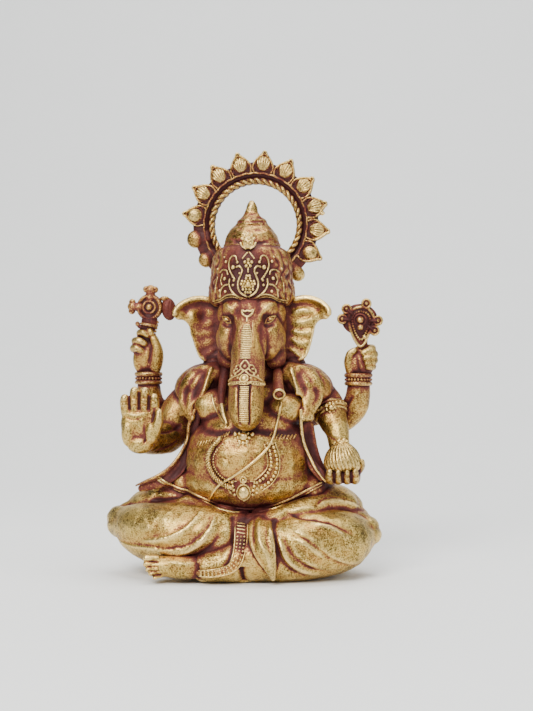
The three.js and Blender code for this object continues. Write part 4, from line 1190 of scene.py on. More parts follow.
def make_crown():
    """The low dome on the headdress and the pointed finial on the dome."""
    bm = bmesh.new()
    profile = [
        (9.3, 109.4), (9.7, 110.6), (9.7, 111.5), (9.25, 111.9), (9.3, 112.5), (8.9, 113.4), (8.3, 114.8),
        (7.2, 116.6), (6.2, 117.8), (5.0, 118.6)
    ]
    turned(bm, CROWN_AXIS, curve(profile, 3))
    skin = Skin(bm, FINE_GRAIN, soften=1)
    skin.co[:, 2] += 0.09 * (skin.co[:, 1] + 3)
    skin.roughen(1.6)
    skin.stroke([(-8.4, 113.6), (-4, 111.7), (0, 111.2), (4, 111.6), (8, 113.2)], 0.7, -0.5, stain_and_shade=0.4)
    skin.stroke([(-7, 116), (-3, 114.8), (0, 114.5), (3, 114.7), (7, 115.6)], 0.8, 0.3)
    skin.swell((-0.5, -12, 115.4), (9, 8, 1.3), 0.0, stain_and_shade=0.3)
    skin.stroke([(-6, 113.4), (-3, 112.4), (0, 112.2), (3, 112.6), (6, 113.6)], 0.5, -0.3)
    skin.settle()
    cast("dome", ["crown_dome"], "ornament_brass", skin)
    bm = bmesh.new()
    profile = [
        (5.5, 117.4), (5.7, 118.0), (5.6, 118.5), (5.0, 119.2), (5.15, 119.5), (4.3, 120.3), (3.1, 121.3),
        (2.85, 121.9), (2.55, 122.3), (2.3, 123.4), (1.6, 125.2), (0.9, 126.4), (0.3, 126.75)
    ]
    turned(bm, CROWN_AXIS, curve(profile, 3))
    skin = Skin(bm, FINE_GRAIN, soften=1)
    skin.roughen(1.4)
    for height, half in ((118.9, 5.6), (120.3, 4.6), (122.0, 2.9)):
        band = [(-0.5 - half, height + 0.3), (-0.5, height - 0.3), (-0.5 + half, height + 0.3)]
        skin.stroke(band, 0.4, -0.12, stain_and_shade=0.4, taper=0.05)
    cast("finial", ["crown_finial"], "ornament_brass", skin, tone=0.15)


# ---------------------------------------------------------------- halo


def halo_point(radius, angle, y=HALO_DEPTH):
    """A point of the halo by its radius and its angle from the top, clockwise from the front."""
    return np.array([radius * math.sin(angle), y, HALO_HEIGHT + radius * math.cos(angle)])


def halo_arc(radius):
    """The halo's whole arc at a radius."""
    return np.array([halo_point(radius, a) for a in np.linspace(-HALO_SPAN, HALO_SPAN, 120)])


def make_halo_band():
    """The twisted rope and the band with two ridges that carries the petals."""
    core, bm = bmesh.new(), bmesh.new()
    # twisted strands along the inner edge, in front and behind, on a thick inner wall
    sweep(core, halo_arc(15.5), 1.2, 10, squash=1.4, facing=(0, -1, 0))
    for depth in (4.9, 7.1):
        for start in (0, math.pi):
            turns = np.linspace(0, 2 * math.pi * 17, 420)
            angles = np.linspace(-HALO_SPAN, HALO_SPAN, 420)
            rope = [
                halo_point(15.35 + 0.5 * math.cos(t + start), a, depth - 0.5 * math.sin(t + start)) for t,
                a in zip(turns, angles)
            ]
            sweep(bm, rope, 0.62, 7)
    cast("rope_ring", ["halo_rope"], "ornament_brass", None, [(core, 1.6), (bm, 0.45)])
    core, bm = bmesh.new(), bmesh.new()
    sweep(core, halo_arc(19.2), 2.9, 14, squash=0.42, facing=(0, -1, 0))
    for depth in (4.55, 7.45):
        wave = np.linspace(0, 60, 160)
        ridge = [
            halo_point(18.05 + 0.1 * math.sin(w * 3), a, depth) for w,
            a in zip(wave, np.linspace(-HALO_SPAN, HALO_SPAN, 160))
        ]
        sweep(bm, ridge, 0.36, 7)
    cast("ridge_ring", ["halo_ring"], "ornament_brass", None, [(core, 1.5), (bm, 0.9)])


def make_petal(number):
    """A pointed plate with a raised rim round a ribbed shell; the lowest ones were cast as plain lumps."""
    angle = PETAL_LEAN + (number - 7) * PETAL_PITCH

    def place(u, w, y):
        """u across the petal, w out from the halo's middle."""
        return halo_point(w, angle, y) + u * np.array([math.cos(angle), 0, -math.sin(angle)])

    ground, bm, shell_bm, rim_bm = bmesh.new(), bmesh.new(), bmesh.new(), bmesh.new()
    if number in (1, 2):
        ball(
            bm, place(0, 21.6 - 0.5 * (number == 1), 5.8),
            (3.2, 2.0, 3.2) if number == 2 else (2.8, 1.9, 2.8)
        )
        ball(bm, place(-0.3, 18.6, 6), (3.4, 1.7, 3.2))
        skin = Skin(bm, FINE_GRAIN, soften=4)
        cast(f"halo_lump_{number}", [f"halo_petal_{number:02d}"], "ornament_brass", skin, tone=0.6)
        return
    if number == 13:
        block = np.linspace(place(0, 18.8, HALO_DEPTH), place(0, 22.8, HALO_DEPTH), 6)
        sweep(bm, block, 2.6, 16, squash=0.7, facing=(0, -1, 0))
        skin = Skin(bm, FINE_GRAIN, soften=3)
        cast("halo_block", ["halo_petal_13"], "ornament_brass", skin, tone=0.35)
        return
    outline = [
        (-3.2, 18.3), (-3.75, 19.8), (-3.65, 21.2), (-2.9, 22.7), (-1.75, 24.1), (-0.85, 25.1),
        (-0.55, 25.8)
    ]
    outline = [*outline, (0, 26.1), *[(-u, w) for u, w in reversed(outline)]]
    line = curve([(u, w, 0) for u, w in outline], 3)[:, :2]
    corners = [place(u, w, 0) for u, w in line]
    plate(ground, [(c[0], c[2]) for c in corners], 4.9, 7.2)
    for depth, thick in ((4.75, 0.36), (7.3, 0.34)):
        sweep(rim_bm, [place(0.93 * u, 18.3 + 0.97 * (w - 18.3), depth) for u, w in line], thick, 6)
    # the shell inside it
    shell = [(0, 18.9), (-1.6, 19.5), (-2.35, 20.9), (-2.0, 22.4), (-1.1, 23.5), (0, 24.5)]
    shell = [*shell, *[(-u, w) for u, w in reversed(shell[1:-1])]]
    rim = curve([(u, w, 0) for u, w in shell], 3, closed=True)[:, :2]
    if number not in (3, 12):
        for share in (-1, -0.62, -0.22, 0.22, 0.62, 1):
            foot = (share * 0.8, 19.3)
            crown = (share * 2.0, 23.8 - 1.6 * abs(share) ** 1.5)
            middle = (share * 1.8, 21.3)
            rib = curve(
                [
                    place(*foot, 4.3), place(*middle, 3.6 + 0.35 * abs(share)),
                    place(*crown, 4.15 + 0.2 * abs(share))
                ],
                4
            )
            sweep(bm, rib, np.interp(np.linspace(0, 1, len(rib)), [0, 0.5, 1], [0.2, 0.38, 0.34]), 6)
    ball(shell_bm, place(0, 21.5, 4.95), (2.5, 1.2, 2.7), (math.degrees(angle), "Y"), 20, 12)
    sweep(rim_bm, [place(1.2 * u, 18.6 + 1.06 * (w - 18.6), 4.75) for u, w in rim], 0.26, 6, closed=True)
    for side in (RIGHT, LEFT):
        bead(ground, place(side * 2.9, 19.3, 4.75), 0.45)
    if number == 10:
        ball(bm, place(2.9, 23.4, 5.6), (1.0, 1.2, 0.8), across=12, down=8)
    cast(
        f"halo_leaf_{number}", [f"halo_petal_{number:02d}"], "ornament_brass", None,
        [(ground, 1.2), (rim_bm, 0.35), (bm, -0.6), (shell_bm, -0.2)]
    )


# ---------------------------------------------------------------- front arms


def make_right_arm():
    """The bent arm and the lifted open hand."""
    bm = bmesh.new()
    limb(
        bm,
        [
            (-20, 2, 61, 6.2), (-26, 0.5, 54.6, 6.3), (-28.6, -2.4, 46.6, 5.6), (-30.4, -7.5, 45.2, 5.2),
            (-33, -12.5, 44.8, 4.8), (-35, -18, 45, 4.1)
        ]
    )
    skin = Skin(bm, soften=6)
    skin.stroke([(-24, 50), (-27.4, 48), (-31, 47.6)], 0.8, -0.7, sharp=True, stain_and_shade=0.25)
    skin.stroke([(-24.6, 45), (-28, 42.6), (-32, 41.4)], 0.9, -0.5, stain_and_shade=0.25)
    skin.stroke([(-3, 58), (-4, 51), (-8, 46), (-16, 45)], 1.2, -0.6, sight="right")
    cast("right_arm", ["right_upper_arm", "right_forearm"], "figure_brass", skin, tone=0.25)

    bm = bmesh.new()
    ball(bm, (-35.8, -20.4, 50.6), (6.5, 2.9, 7.2))
    ball(bm, (-31.7, -21.4, 48.2), (3.0, 2.6, 4.6), (14, "Y"))
    ball(bm, (-31.6, -20.8, 51.6), (2.7, 2.2, 4.0))
    ball(bm, (-36, -20.4, 56), (6.4, 2.0, 4.4))
    ball(bm, (-39.4, -21.2, 47.8), (2.5, 2.4, 4.6))
    ball(bm, (-35.6, -20.6, 44.2), (4.6, 3.0, 3.4))
    for x, tip, r in ((-40.6, 61.0, 1.65), (-37.4, 63.3, 1.8), (-34.1, 63.2, 1.82), (-30.9, 61.2, 1.7)):
        foot = -35.8 + 0.93 * (x + 35.8)
        limb(
            bm, [(foot, -20.6, 54, r + 0.15), (x, -21.4, 58, r + 0.05), (x, -21.7, tip - 1.8, r * 0.86)], 16
        )
    limb(bm, [(-31.2, -21.6, 47.6, 2.3), (-29.4, -22.2, 51.6, 1.8), (-29.2, -22.2, 54.6, 1.35)], 16)
    skin = Skin(bm, FINE_GRAIN, soften=3)
    for x in (-39.0, -35.75, -32.5):
        skin.stroke(
            [(-35.8 + 0.93 * (x + 35.8), 55.4), (x, 58), (x, 62.6)], 0.42, -0.5, sharp=True, taper=0.05,
            stain_and_shade=0.8
        )
    skin.swell((-35.4, -23.4, 50.6), (2.8, 3, 3.4), -0.35, stain_and_shade=-0.25)
    skin.stroke([(-40.6, 53.2), (-37.6, 52.2), (-34.2, 53.2)], 0.35, -0.4, sharp=True, stain_and_shade=0.3)
    skin.stroke([(-41.2, 54.4), (-36.8, 53.7), (-31.4, 54.6)], 0.5, 0.35)
    skin.stroke([(-33.2, 53.4), (-34.2, 50), (-33.6, 46), (-34.6, 43.4)], 0.4, -0.5, sharp=True, stain_and_shade=0.3)
    for x, top in ((-40.6, 58.3), (-37.4, 59.4), (-34.1, 59.4), (-30.9, 58.4)):
        for z in (top, top - 2.3):
            skin.stroke([(x - 1.2, z), (x, z - 0.15), (x + 1.2, z)], 0.28, -0.32, sharp=True, stain_and_shade=0.2)
    skin.stroke([(-30.7, 56), (-31.1, 53), (-31.6, 51.2)], 0.45, -0.5, sharp=True, stain_and_shade=0.6)
    skin.settle()
    skin.swell((-36, -22, 58.5), (8, 6, 4), 0.0, stain_and_shade=0.35)
    cast("right_palm", ["right_hand"], "figure_brass", skin, tone=0.0)


def make_left_arm():
    """The lowered arm with its band, the pleated sweet and the hand under it."""
    bm = bmesh.new()
    limb(
        bm,
        [
            (20, 2, 61, 6.2), (24.6, 0.4, 57.4, 5.9), (27.2, -3, 51.4, 4.9), (28.9, -6, 47.4, 4.0),
            (29.5, -8.6, 41.6, 3.2), (30.2, -10.4, 37.4, 3.1), (30.6, -13, 34.8, 3.3)
        ]
    )
    skin = Skin(bm, soften=5)
    skin.stroke([(25, 47), (28, 45.4), (32.4, 45.2)], 0.6, -0.5, sharp=True, stain_and_shade=0.25)
    cast("left_arm", ["left_upper_arm", "left_forearm"], "figure_brass", skin, tone=0.25)

    # the band round it: two rims with beads between them and a rosette in front
    bm = bmesh.new()
    angles = np.linspace(0, 2 * math.pi, 48, endpoint=False)
    along = np.array((2.6, -3.4, -6.0)) / np.linalg.norm((2.6, -3.4, -6.0))
    side, up, _ = frames_along(np.array([(0, 0, 0), along]))[0]
    for shift, thick in ((0.0, 0.55), (2.5, 0.55)):
        middle = np.array((25.4, -0.9, 54.9)) + along * shift
        loop = skin.hug([middle + 8 * (math.cos(a) * side + math.sin(a) * up) for a in angles], 0.15)
        sweep(bm, loop, thick, 7, closed=True)
    middle = np.array((25.4, -0.9, 54.9)) + along * 1.25
    loop = skin.hug([middle + 8 * (math.cos(a) * side + math.sin(a) * up) for a in angles], 0.1)
    sweep(bm, loop, 0.8, 8, closed=True)
    for at in paced(np.vstack([loop, loop[:1]]), 1.35):
        bead(bm, at + 0.45 * (at - middle) / np.linalg.norm(at - middle), 0.62)
    rosette = skin.hug([(26.6, -8.4, 56.4)], 0.5)[0]
    for a in turn_angles(7):
        step = math.cos(a) * np.array((0.95, 0.2, 0)) + math.sin(a) * np.array((0, -0.2, 0.95))
        bead(bm, rosette + 1.5 * step, 0.7)
    ball(bm, rosette + (0.2, -0.5, 0), (1.0, 0.8, 1.0), across=14, down=9)
    cast("left_arm_band", ["left_armband"], "ornament_brass", None, [(bm, 0.35)])

    bm = bmesh.new()
    profile = [
        (3.6, 34.9), (5.3, 35.9), (6.1, 37.6), (6.05, 39.4), (5.3, 41.4), (4.0, 43.2), (2.6, 44.5),
        (1.5, 45.1)
    ]
    pleats = turned(bm, (30.8, -17), curve(profile, 4), sides=168)
    for v in pleats:
        away = v.co - Vector((30.8, -17, v.co.z))
        around = math.atan2(away.y, away.x)
        lean = 0.05 * (v.co.z - 36)
        depth = 0.2 + 0.46 * abs(math.sin(14 * (around + lean))) ** 0.8 * min(1.0, (45.6 - v.co.z) / 3)
        v.co = v.co - away * (0.62 - depth) / max(away.length, 0.6)
    ball(bm, (30.6, -16.6, 44.6), (2.2, 2.2, 1.3), across=16, down=10)
    for x, z in ((29.6, 45.3), (31.2, 45.5), (32.2, 44.9)):
        ball(bm, (x, -17.4, z), (0.9, 0.9, 0.8), across=12, down=8)
    cast("pleated_sweet", ["sweet"], "ornament_brass", None, [(bm, 0.0)])

    bm = bmesh.new()
    ball(bm, (30.7, -15.6, 34.4), (5.4, 6.2, 2.7))
    for x, lead in ((26.9, 0.3), (29.6, 0.0), (32.4, 0.1), (34.9, 0.7)):
        limb(
            bm,
            [
                (x, -12.5, 33.4, 1.9), (x, -17.6, 32.7, 1.75), (x, -21.1 + lead, 33.4, 1.55),
                (x, -22.2 + lead, 35.4, 1.2)
            ],
            14
        )
    limb(bm, [(35.2, -12, 35.2, 2.0), (36.6, -15, 36.8, 1.5), (37.0, -17.6, 38.4, 1.15)], 14)
    limb(bm, [(30.2, -9.8, 37.4, 3.0), (30.6, -13, 34.8, 3.4)], 16)
    skin = Skin(bm, FINE_GRAIN, soften=3)
    for x in (28.25, 31.0, 33.7):
        skin.stroke([(x, 36.4), (x, 34), (x, 31.6)], 0.4, -0.7, sharp=True, taper=0.05, stain_and_shade=0.5)
    for x in (26.9, 29.6, 32.4, 34.9):
        skin.stroke([(x - 1, 34.1), (x, 34.0), (x + 1, 34.1)], 0.3, -0.3, sharp=True, stain_and_shade=0.25)
    skin.settle()
    cast("left_palm", ["left_hand"], "figure_brass", skin, tone=0.45)


# ---------------------------------------------------------------- rear arms and what they hold


def make_rear_arm(side):
    """A rear arm with its cuff, its closed hand and the sign it holds."""
    name = "rear_left" if side == LEFT else "rear_right"
    wrist = 35.8 if side == LEFT else 37.0
    low = 63.6 if side == LEFT else 64.0
    bm = bmesh.new()
    limb(
        bm,
        [
            (side * 19, 7.5, 61, 5.8), (side * 26, 7.6, 55, 5.2), (side * (wrist - 6), 6.4, 52, 4.9),
            (side * (wrist - 1.6), 3.6, 55.4, 4.6), (side * (wrist - 0.2), 2.0, 60, 4.2),
            (side * wrist, 1.4, low + 2.4, 3.8)
        ]
    )
    skin = Skin(bm, soften=5)
    mirror = functools.partial(mirrored, side, 0.0)
    skin.stroke(
        mirror((wrist - 6.5, 56), (wrist - 3.4, 57.4), (wrist - 1.6, 60.6)), 0.7, -0.5, sharp=True,
        stain_and_shade=0.25
    )
    cast(name + "_limb", [name + "_arm"], "figure_brass", skin, tone=0.35)

    bm = bmesh.new()
    profile = [
        (3.5, low - 0.4), (4.5, low - 0.3), (4.9, low + 0.3), (4.6, low + 0.9), (4.15, low + 1.2),
        (4.15, low + 2.2), (4.6, low + 2.5), (5.0, low + 3.2), (4.6, low + 3.9), (3.4, low + 4.0)
    ]
    turned(bm, (side * wrist, 1.4), profile, 48)
    for a in turn_angles(24):
        bead(bm, (side * wrist + 4.3 * math.cos(a), 1.4 + 4.3 * math.sin(a), low + 1.7), 0.5)
    cast(name + "_cuff", [name + "_bracelet"], "ornament_brass", None, [(bm, 0.7)])

    bm = bmesh.new()
    if side == RIGHT:
        limb(
            bm,
            [
                (-37, 1.2, 66.2, 3.6), (-37, 0.8, 69.4, 4.2), (-37, 0.6, 72.6, 4.9), (-36.8, 0.8, 76, 4.7),
                (-36.6, 0.8, 78, 3.6)
            ],
            squash=0.66
        )
        ball(bm, (-36.8, -0.4, 73.4), (4.7, 2.7, 5.6))
        ball(bm, (-39.2, 0.0, 72.4), (3.0, 2.3, 5.4))
        fingers = (
            ((-40.0, 1.2, 75.4), (-42.0, -0.6, 76.0), (-40.6, -2.4, 76.2), (-38.8, -2.6, 75.4)),
            ((-39.6, 1.2, 77.6), (-41.4, -0.6, 78.6), (-39.8, -2.6, 78.8), (-37.8, -2.7, 77.8)),
            ((-38.6, 1.0, 79.4), (-39.8, -0.6, 81.4), (-38.2, -2.4, 81.6), (-36.8, -2.5, 80.6)),
            ((-35.8, 1.0, 80.4), (-36.6, -0.6, 82.2), (-36.0, -2.2, 82.2), (-35.4, -2.5, 81.2))
        )
        limb(
            bm,
            [
                (-34.4, -0.6, 69.6, 2.4), (-33.6, -1.0, 73.6, 2.4), (-33.8, -1.4, 77, 1.8),
                (-34.8, -1.8, 79.6, 1.3)
            ],
            14
        )
    else:
        limb(
            bm,
            [
                (35.8, 1.2, 65.8, 3.6), (36.2, 0.8, 68.2, 4.2), (36.8, 0.6, 71.2, 4.6),
                (36.8, 0.8, 73.4, 3.8)
            ],
            squash=0.66
        )
        ball(bm, (36.4, -0.2, 70.4), (4.4, 2.8, 4.4))
        fingers = (
            ((38.6, 1.2, 76.2), (40.6, -0.4, 76.0), (39.6, -2.6, 75.2), (37.6, -3.2, 74.4)),
            ((39.2, 1.2, 74.2), (41.4, -0.4, 74.0), (40.4, -2.8, 73.2), (38.2, -3.4, 72.6)),
            ((39.2, 1.2, 72.2), (41.4, -0.4, 72.0), (40.6, -2.6, 71.4), (38.8, -3.2, 71.0)),
            ((38.8, 1.2, 70.2), (40.8, -0.2, 69.8), (40.2, -2.2, 69.6), (39.0, -2.8, 69.6))
        )
        limb(
            bm,
            [
                (33.4, -0.4, 68.4, 2.0), (32.6, -1.0, 71.4, 1.8), (33.0, -1.4, 74.0, 1.4),
                (34.4, -1.6, 75.2, 1.1)
            ],
            14
        )
    for (a, b, c, d), r in zip(fingers, (1.35, 1.35, 1.25, 1.2)):
        limb(bm, [(*a, r), (*b, r), (*c, r * 0.95), (*d, r * 0.8)], 14)
    skin = Skin(bm, FINE_GRAIN, soften=3)
    middle = 74 if side == RIGHT else 70.4
    skin.stroke(
        [(side * 35.4, middle + 3.4), (side * 35.8, middle - 0.4), (side * 36.4, middle - 3.4)], 0.5, -0.45,
        sharp=True, stain_and_shade=0.35
    )
    skin.settle()
    cast(name + "_hand", [name + "_fist"], "figure_brass", skin, tone=0.3)

    bm, dark = bmesh.new(), bmesh.new()
    if side == RIGHT:
        make_wheel(bm, dark)
    else:
        make_knobbed_disc(bm, dark)
    cast(
        name + "_sign", [name + "_emblem"], "ornament_brass", None,
        [(bm, 0.95 if side == RIGHT else 0.35), (dark, 1.5)]
    )


def make_wheel(bm, dark):
    """The disc of two rings and a boss in the rear right hand, with lobed knobs, on a moulded stem."""
    centre = np.array([-36.2, -0.9, 90.3])
    ball(dark, centre, (4.7, 1.3, 4.7), across=36, down=12)
    for depth in (-1, 1):
        ring(bm, centre + (0, depth * 0.95, 0), 3.85, 0.62, across=40, sides=8)
        ring(bm, centre + (0, depth * 1.25, 0), 2.05, 0.42, across=32, sides=8)
        ball(bm, centre + (0, depth * 1.25, 0), (1.15, 0.95, 1.15), across=16, down=10)
        for a in turn_angles(30):
            bead(bm, centre + (3.9 * math.sin(a), depth * 1.4, 3.9 * math.cos(a)), 0.36)
    for angle in (-1.52, 0.05):
        way = np.array([math.sin(angle), 0, math.cos(angle)])
        across = np.array([math.cos(angle), 0, -math.sin(angle)])
        sweep(bm, [centre + way * far for far in (3.6, 4.8, 5.8)], [2.1, 1.6, 2.0], 14, squash=0.9)
        for out, shift, size in ((6.2, -1.5, 1.2), (6.2, 1.5, 1.2), (6.5, 0.0, 1.3)):
            ball(bm, centre + way * out + across * shift, size, across=14, down=10)
        sweep(
            dark, [centre + way * 6.3 + across * shift + (0, -0.9, 0) for shift in (-1.6, 0, 1.6)], 0.4, 6
        )
    # the third knob is cast as a large shell
    shell = centre + (6.6, 0.3, -0.6)
    ball(dark, shell, (2.6, 2.2, 4.0), (-8, "Y"), 20, 14)
    for k in range(-2, 3):
        rib = [
            shell + (0.75 * k + 0.3, -1.7 + 0.25 * k * k, 2.6 - 0.3 * k * k),
            shell + (0.95 * k, -2.05 + 0.28 * k * k, 0),
            shell + (0.7 * k - 0.2, -1.6 + 0.25 * k * k, -2.5 + 0.3 * k * k)
        ]
        sweep(dark, curve(rib, 4), 0.3, 6)
    ball(bm, centre + (5.2, -0.2, 3.0), (1.7, 1.2, 0.9), across=14, down=10)
    stem = [
        (-37.9, -0.6, 76.8, 1.8), (-37.6, -0.8, 79.6, 2.1), (-36.9, -0.9, 82.4, 2.5),
        (-36.3, -0.9, 85.2, 2.9), (-36.2, -0.9, 87, 2.6)
    ]
    limb(dark, stem, 20, squash=0.6)
    for at, size in (((-37.3, -0.8, 80.8), 2.2), ((-36.5, -0.9, 84.2), 2.7)):
        ring(bm, at, size, 0.5, (0.2, 0, 1))
    for k in range(7):
        bead(bm, (-34.9 + 0.26 * k, -1.3, 78.8 + 1.05 * k), 0.5)
    ball(bm, (-40.4, -1.4, 84.6), (0.85, 0.85, 0.85), across=14, down=10)
    limb(dark, [(-38.2, -1.0, 83.2, 0.8), (-39.6, -1.3, 83.6, 0.7), (-40.3, -1.4, 84.4, 0.6)], 10)


def make_knobbed_disc(bm, dark):
    """The pear-shaped loop of beads with five ringed knobs in the rear left hand."""
    centre = np.array([36.5, -0.9, 85.2])
    ball(dark, centre, (4.6, 1.3, 4.7), across=32, down=12)
    ball(dark, (36.3, -0.9, 85.8), (6.2, 1.0, 5.4), across=32, down=12)
    limb(
        dark,
        [
            (37.6, -0.8, 76.2, 1.5), (36.9, -0.9, 78.6, 2.2), (36.5, -0.9, 81.2, 3.2),
            (36.7, -0.9, 83.8, 3.9)
        ],
        20, squash=0.32
    )
    edge = [
        (36.9, 90.0), (39.4, 89.2), (41.0, 86.8), (40.6, 83.8), (39.2, 80.6), (38.0, 77.8), (36.6, 76.6),
        (34.9, 78.4)
    ]
    edge = curve(
        [(x, 0, z) for x, z in [*edge, (33.6, 81.4), (32.8, 84.6), (32.9, 87.4), (34.5, 89.4)]], 5,
        closed=True
    )
    inner = np.array([36.8, 0, 84.6]) + 0.72 * (edge - (36.8, 0, 84.6))
    for depth in (-1, 1):
        sweep(bm, edge + (0, -0.9 + depth * 0.75, 0), 0.5, 8, closed=True)
        for at in paced(np.vstack([inner, inner[:1]]), 0.82):
            bead(bm, at + (0, -0.9 + depth * 1.15, 0), 0.38)
        ring(bm, centre + (0, depth * 1.2, 0.4), 1.95, 0.4, across=28)
        ball(bm, centre + (0, depth * 1.3, 0.4), (1.3, 1.0, 1.3), across=16, down=10)
        ball(bm, (36.6, -0.9 + depth * 1.3, 83.2), (1.1, 0.8, 1.1), across=14, down=10)
        ball(bm, (37.9, -0.9 + depth * 1.1, 79.8), (0.8, 0.8, 0.8), across=14, down=10)
    for x, z in ((38.6, 91.2), (42.5, 85.4), (41.4, 82.0), (31.9, 89.4), (30.4, 86.0)):
        at = np.array([x, -0.9, z])
        way = (at - centre) / np.linalg.norm(at - centre)
        sweep(
            dark, [centre + way * far for far in (4.2, np.linalg.norm(at - centre))], [1.9, 1.6], 12,
            squash=0.5
        )
        ball(dark, at, (1.7, 1.4, 1.7), across=16, down=10)
        ball(bm, at, (0.85, 1.75, 0.85), across=14, down=10)
        for depth in (-1, 1):
            ring(bm, at + (0, depth * 0.95, 0), 1.4, 0.45, across=20)


# ---------------------------------------------------------------- cloth, strings and jewels


def make_shawl(side):
    """The shawl: a drape over the shoulder with a point on the chest, and its front edge to the lap."""
    name = "left" if side == LEFT else "right"
    bm = bmesh.new()
    ball(bm, (side * 18.4, -0.3, 63.6), (9.6, 11.4, 7.0), (side * 26, "Y"))
    ball(bm, (side * 14.0, -0.5, 66.8), (7.0, 10.6, 4.8), (side * 16, "Y"))
    ball(bm, (side * 19, 6, 58), (9.2, 6.6, 9))
    tip = 18.2 if side == LEFT else 20.0
    ribbon(
        bm,
        [
            (side * 17, -9.2, 66, 4.8), (side * 20.2, -10.2, 61, 4.8),
            (side * (tip + 1.6), -11.6, 56.6, 3.0), (side * tip, -12.8, 52.4, 1.3)
        ],
        2.4, (side * 0.42, -0.9, 0.2)
    )
    skin = Skin(bm, soften=5)
    mirror = functools.partial(mirrored, side, 0.0)
    # the outer edge, from the shoulder to the point, and the inner one beside the neck
    skin.stroke(
        mirror((29.4, 62.8), (27.8, 59.4), (25, 56), (tip + 2.6, 53.4), (tip + 0.6, 51)), 0.9, 1.2,
        taper=0.05
    )
    skin.stroke(
        mirror((13.2, 69.6), (14.4, 66), (15.9, 61), (tip - 1.6, 56), (tip - 0.4, 51.4)), 0.7, 0.9,
        taper=0.05
    )
    skin.stroke(mirror((17, 69.6), (20.5, 64.4), (22.4, 60), (tip + 2, 55)), 1.2, -0.5, stain_and_shade=0.25)
    skin.stroke(mirror((15.4, 68.6), (18, 63.6), (tip, 57.6)), 0.9, -0.4, stain_and_shade=0.15)
    skin.stroke(mirror((21.6, 69), (24.6, 64.6), (25.6, 60.6)), 1.0, -0.35, stain_and_shade=0.15)
    for k in range(3):
        skin.stroke(
            mirror((10 + 3 * k, 70), (14 + 3.6 * k, 62), (15 + 3.8 * k, 52)), 1.1, -0.6, sight="back"
        )
    cast(
        name + "_shoulder_cloth", [name + "_cape"], "cloth_brass", skin, tone=0.5 if side == LEFT else 0.75
    )

    bm, hem = bmesh.new(), bmesh.new()
    if side == LEFT:
        stations = [
            (17.9, -12.4, 55, 1.6), (18.7, -11.4, 50, 1.9), (18.8, -12.0, 44.6, 1.9),
            (19.8, -13.4, 40, 1.9), (21.8, -14.6, 36, 1.9), (24.2, -15, 33.4, 1.6)
        ]
        edge = [
            (17.0, -13.8, 55), (17.1, -14.0, 50), (17.9, -14.8, 44.8), (19.8, -15.8, 40.2),
            (22.2, -17.0, 35.8), (25.2, -17.5, 32.0)
        ]
        web = [(19.6, -10, 50, 1.6), (20.2, -10.6, 44, 2.0), (21.8, -11.6, 38, 2.4), (24, -12, 33, 2.6)]
    else:
        stations = [
            (-17.6, -12.6, 55, 1.6), (-18.8, -12.0, 50, 1.8), (-19.2, -12.4, 45.6, 1.9),
            (-21.2, -13.8, 40.4, 2.2), (-24.4, -14.8, 35, 2.4), (-28.8, -15.2, 31.8, 2.2),
            (-33.4, -15, 30.0, 1.7), (-36.6, -14.4, 29.0, 1.2)
        ]
        edge = [
            (-18.6, -13.8, 55), (-20.6, -13.4, 50), (-21.0, -13.8, 45.6), (-23.2, -15.0, 40.6),
            (-26.6, -16.4, 36.2), (-30.6, -17.2, 33.4), (-34.6, -16.8, 31.6), (-38, -15.6, 30.0)
        ]
        web = [(-19, -9, 48, 1.8), (-20.4, -10, 42, 2.4), (-23, -11, 36.4, 3.0), (-27, -11.6, 31.4, 3.2)]
    ribbon(bm, stations, 1.8, (side * 0.35, -0.9, 0.1))
    ribbon(bm, web, 3.0, (side * 0.5, -0.8, 0.2))
    sweep(
        hem, curve(edge, 6), np.interp(np.linspace(0, 1, 6 * len(edge) - 5), [0, 0.8, 1], [0.62, 0.5, 0.3]),
        9
    )
    skin = Skin(bm, FINE_GRAIN, soften=4)
    # the edge's inner face lies in shadow: the red here and on the piece below is patina with painted shade
    skin.stroke([(x, z) for x, _, z, _ in web], 1.4, -0.8, stain_and_shade=0.3)
    cast(
        name + "_front_edge", [name + "_shawl_edge"], "cloth_brass", skin,
        [(hem, 1.0 if side == RIGHT else 0.3)], tone=1.4
    )
    return skin


def seen_first(skins, x, z):
    """The place seen at (x, z) from the front, over several skins."""
    return min((skin.spot(x, z)[0] for skin in skins if skin.spot(x, z)), key=lambda place: place[1])


def make_foot():
    """The left foot, which comes out under the right shin's hem."""
    bm = bmesh.new()
    limb(
        bm,
        [(-14.6, -28.4, 5.2, 3.8), (-20, -29.6, 5.2, 3.7), (-25, -30.2, 5.5, 3.4), (-28.4, -30.6, 5.7, 3.0)]
    )
    roots = [(-28.0, 8.2), (-27.8, 6.5), (-27.7, 5.1), (-27.3, 3.8), (-26.6, 2.6)]
    tips = [(-32.6, 8.4), (-32.5, 6.5), (-31.7, 4.9), (-30.7, 3.5), (-29.3, 2.3)]
    for (rx, rz), (tx, tz), r in zip(roots, tips, (1.2, 0.92, 0.84, 0.78, 0.7)):
        knuckle = (0.5 * rx + 0.5 * tx, -32.3, 0.5 * rz + 0.5 * tz, r * 0.88)
        limb(bm, [(rx, -31.6, rz, r * 0.9), knuckle, (tx + r, -32.4, tz, r)], 14)
    skin = Skin(bm, FINE_GRAIN, soften=2)
    for (rx, rz), (tx, tz), (sx, sz), (ux, uz) in zip(roots, tips, roots[1:], tips[1:]):
        groove = [((rx + sx) / 2 + 0.6, (rz + sz) / 2), ((tx + ux) / 2 + 0.4, (tz + uz) / 2)]
        skin.stroke(groove, 0.26, -0.55, sharp=True, taper=0.05, stain_and_shade=0.6)
    skin.stroke([(-15.4, 6.6), (-20, 6.8), (-25, 7.6)], 0.8, 0.4)
    skin.settle()
    cast("foot", ["left_foot"], "figure_brass", skin, tone=0.1)


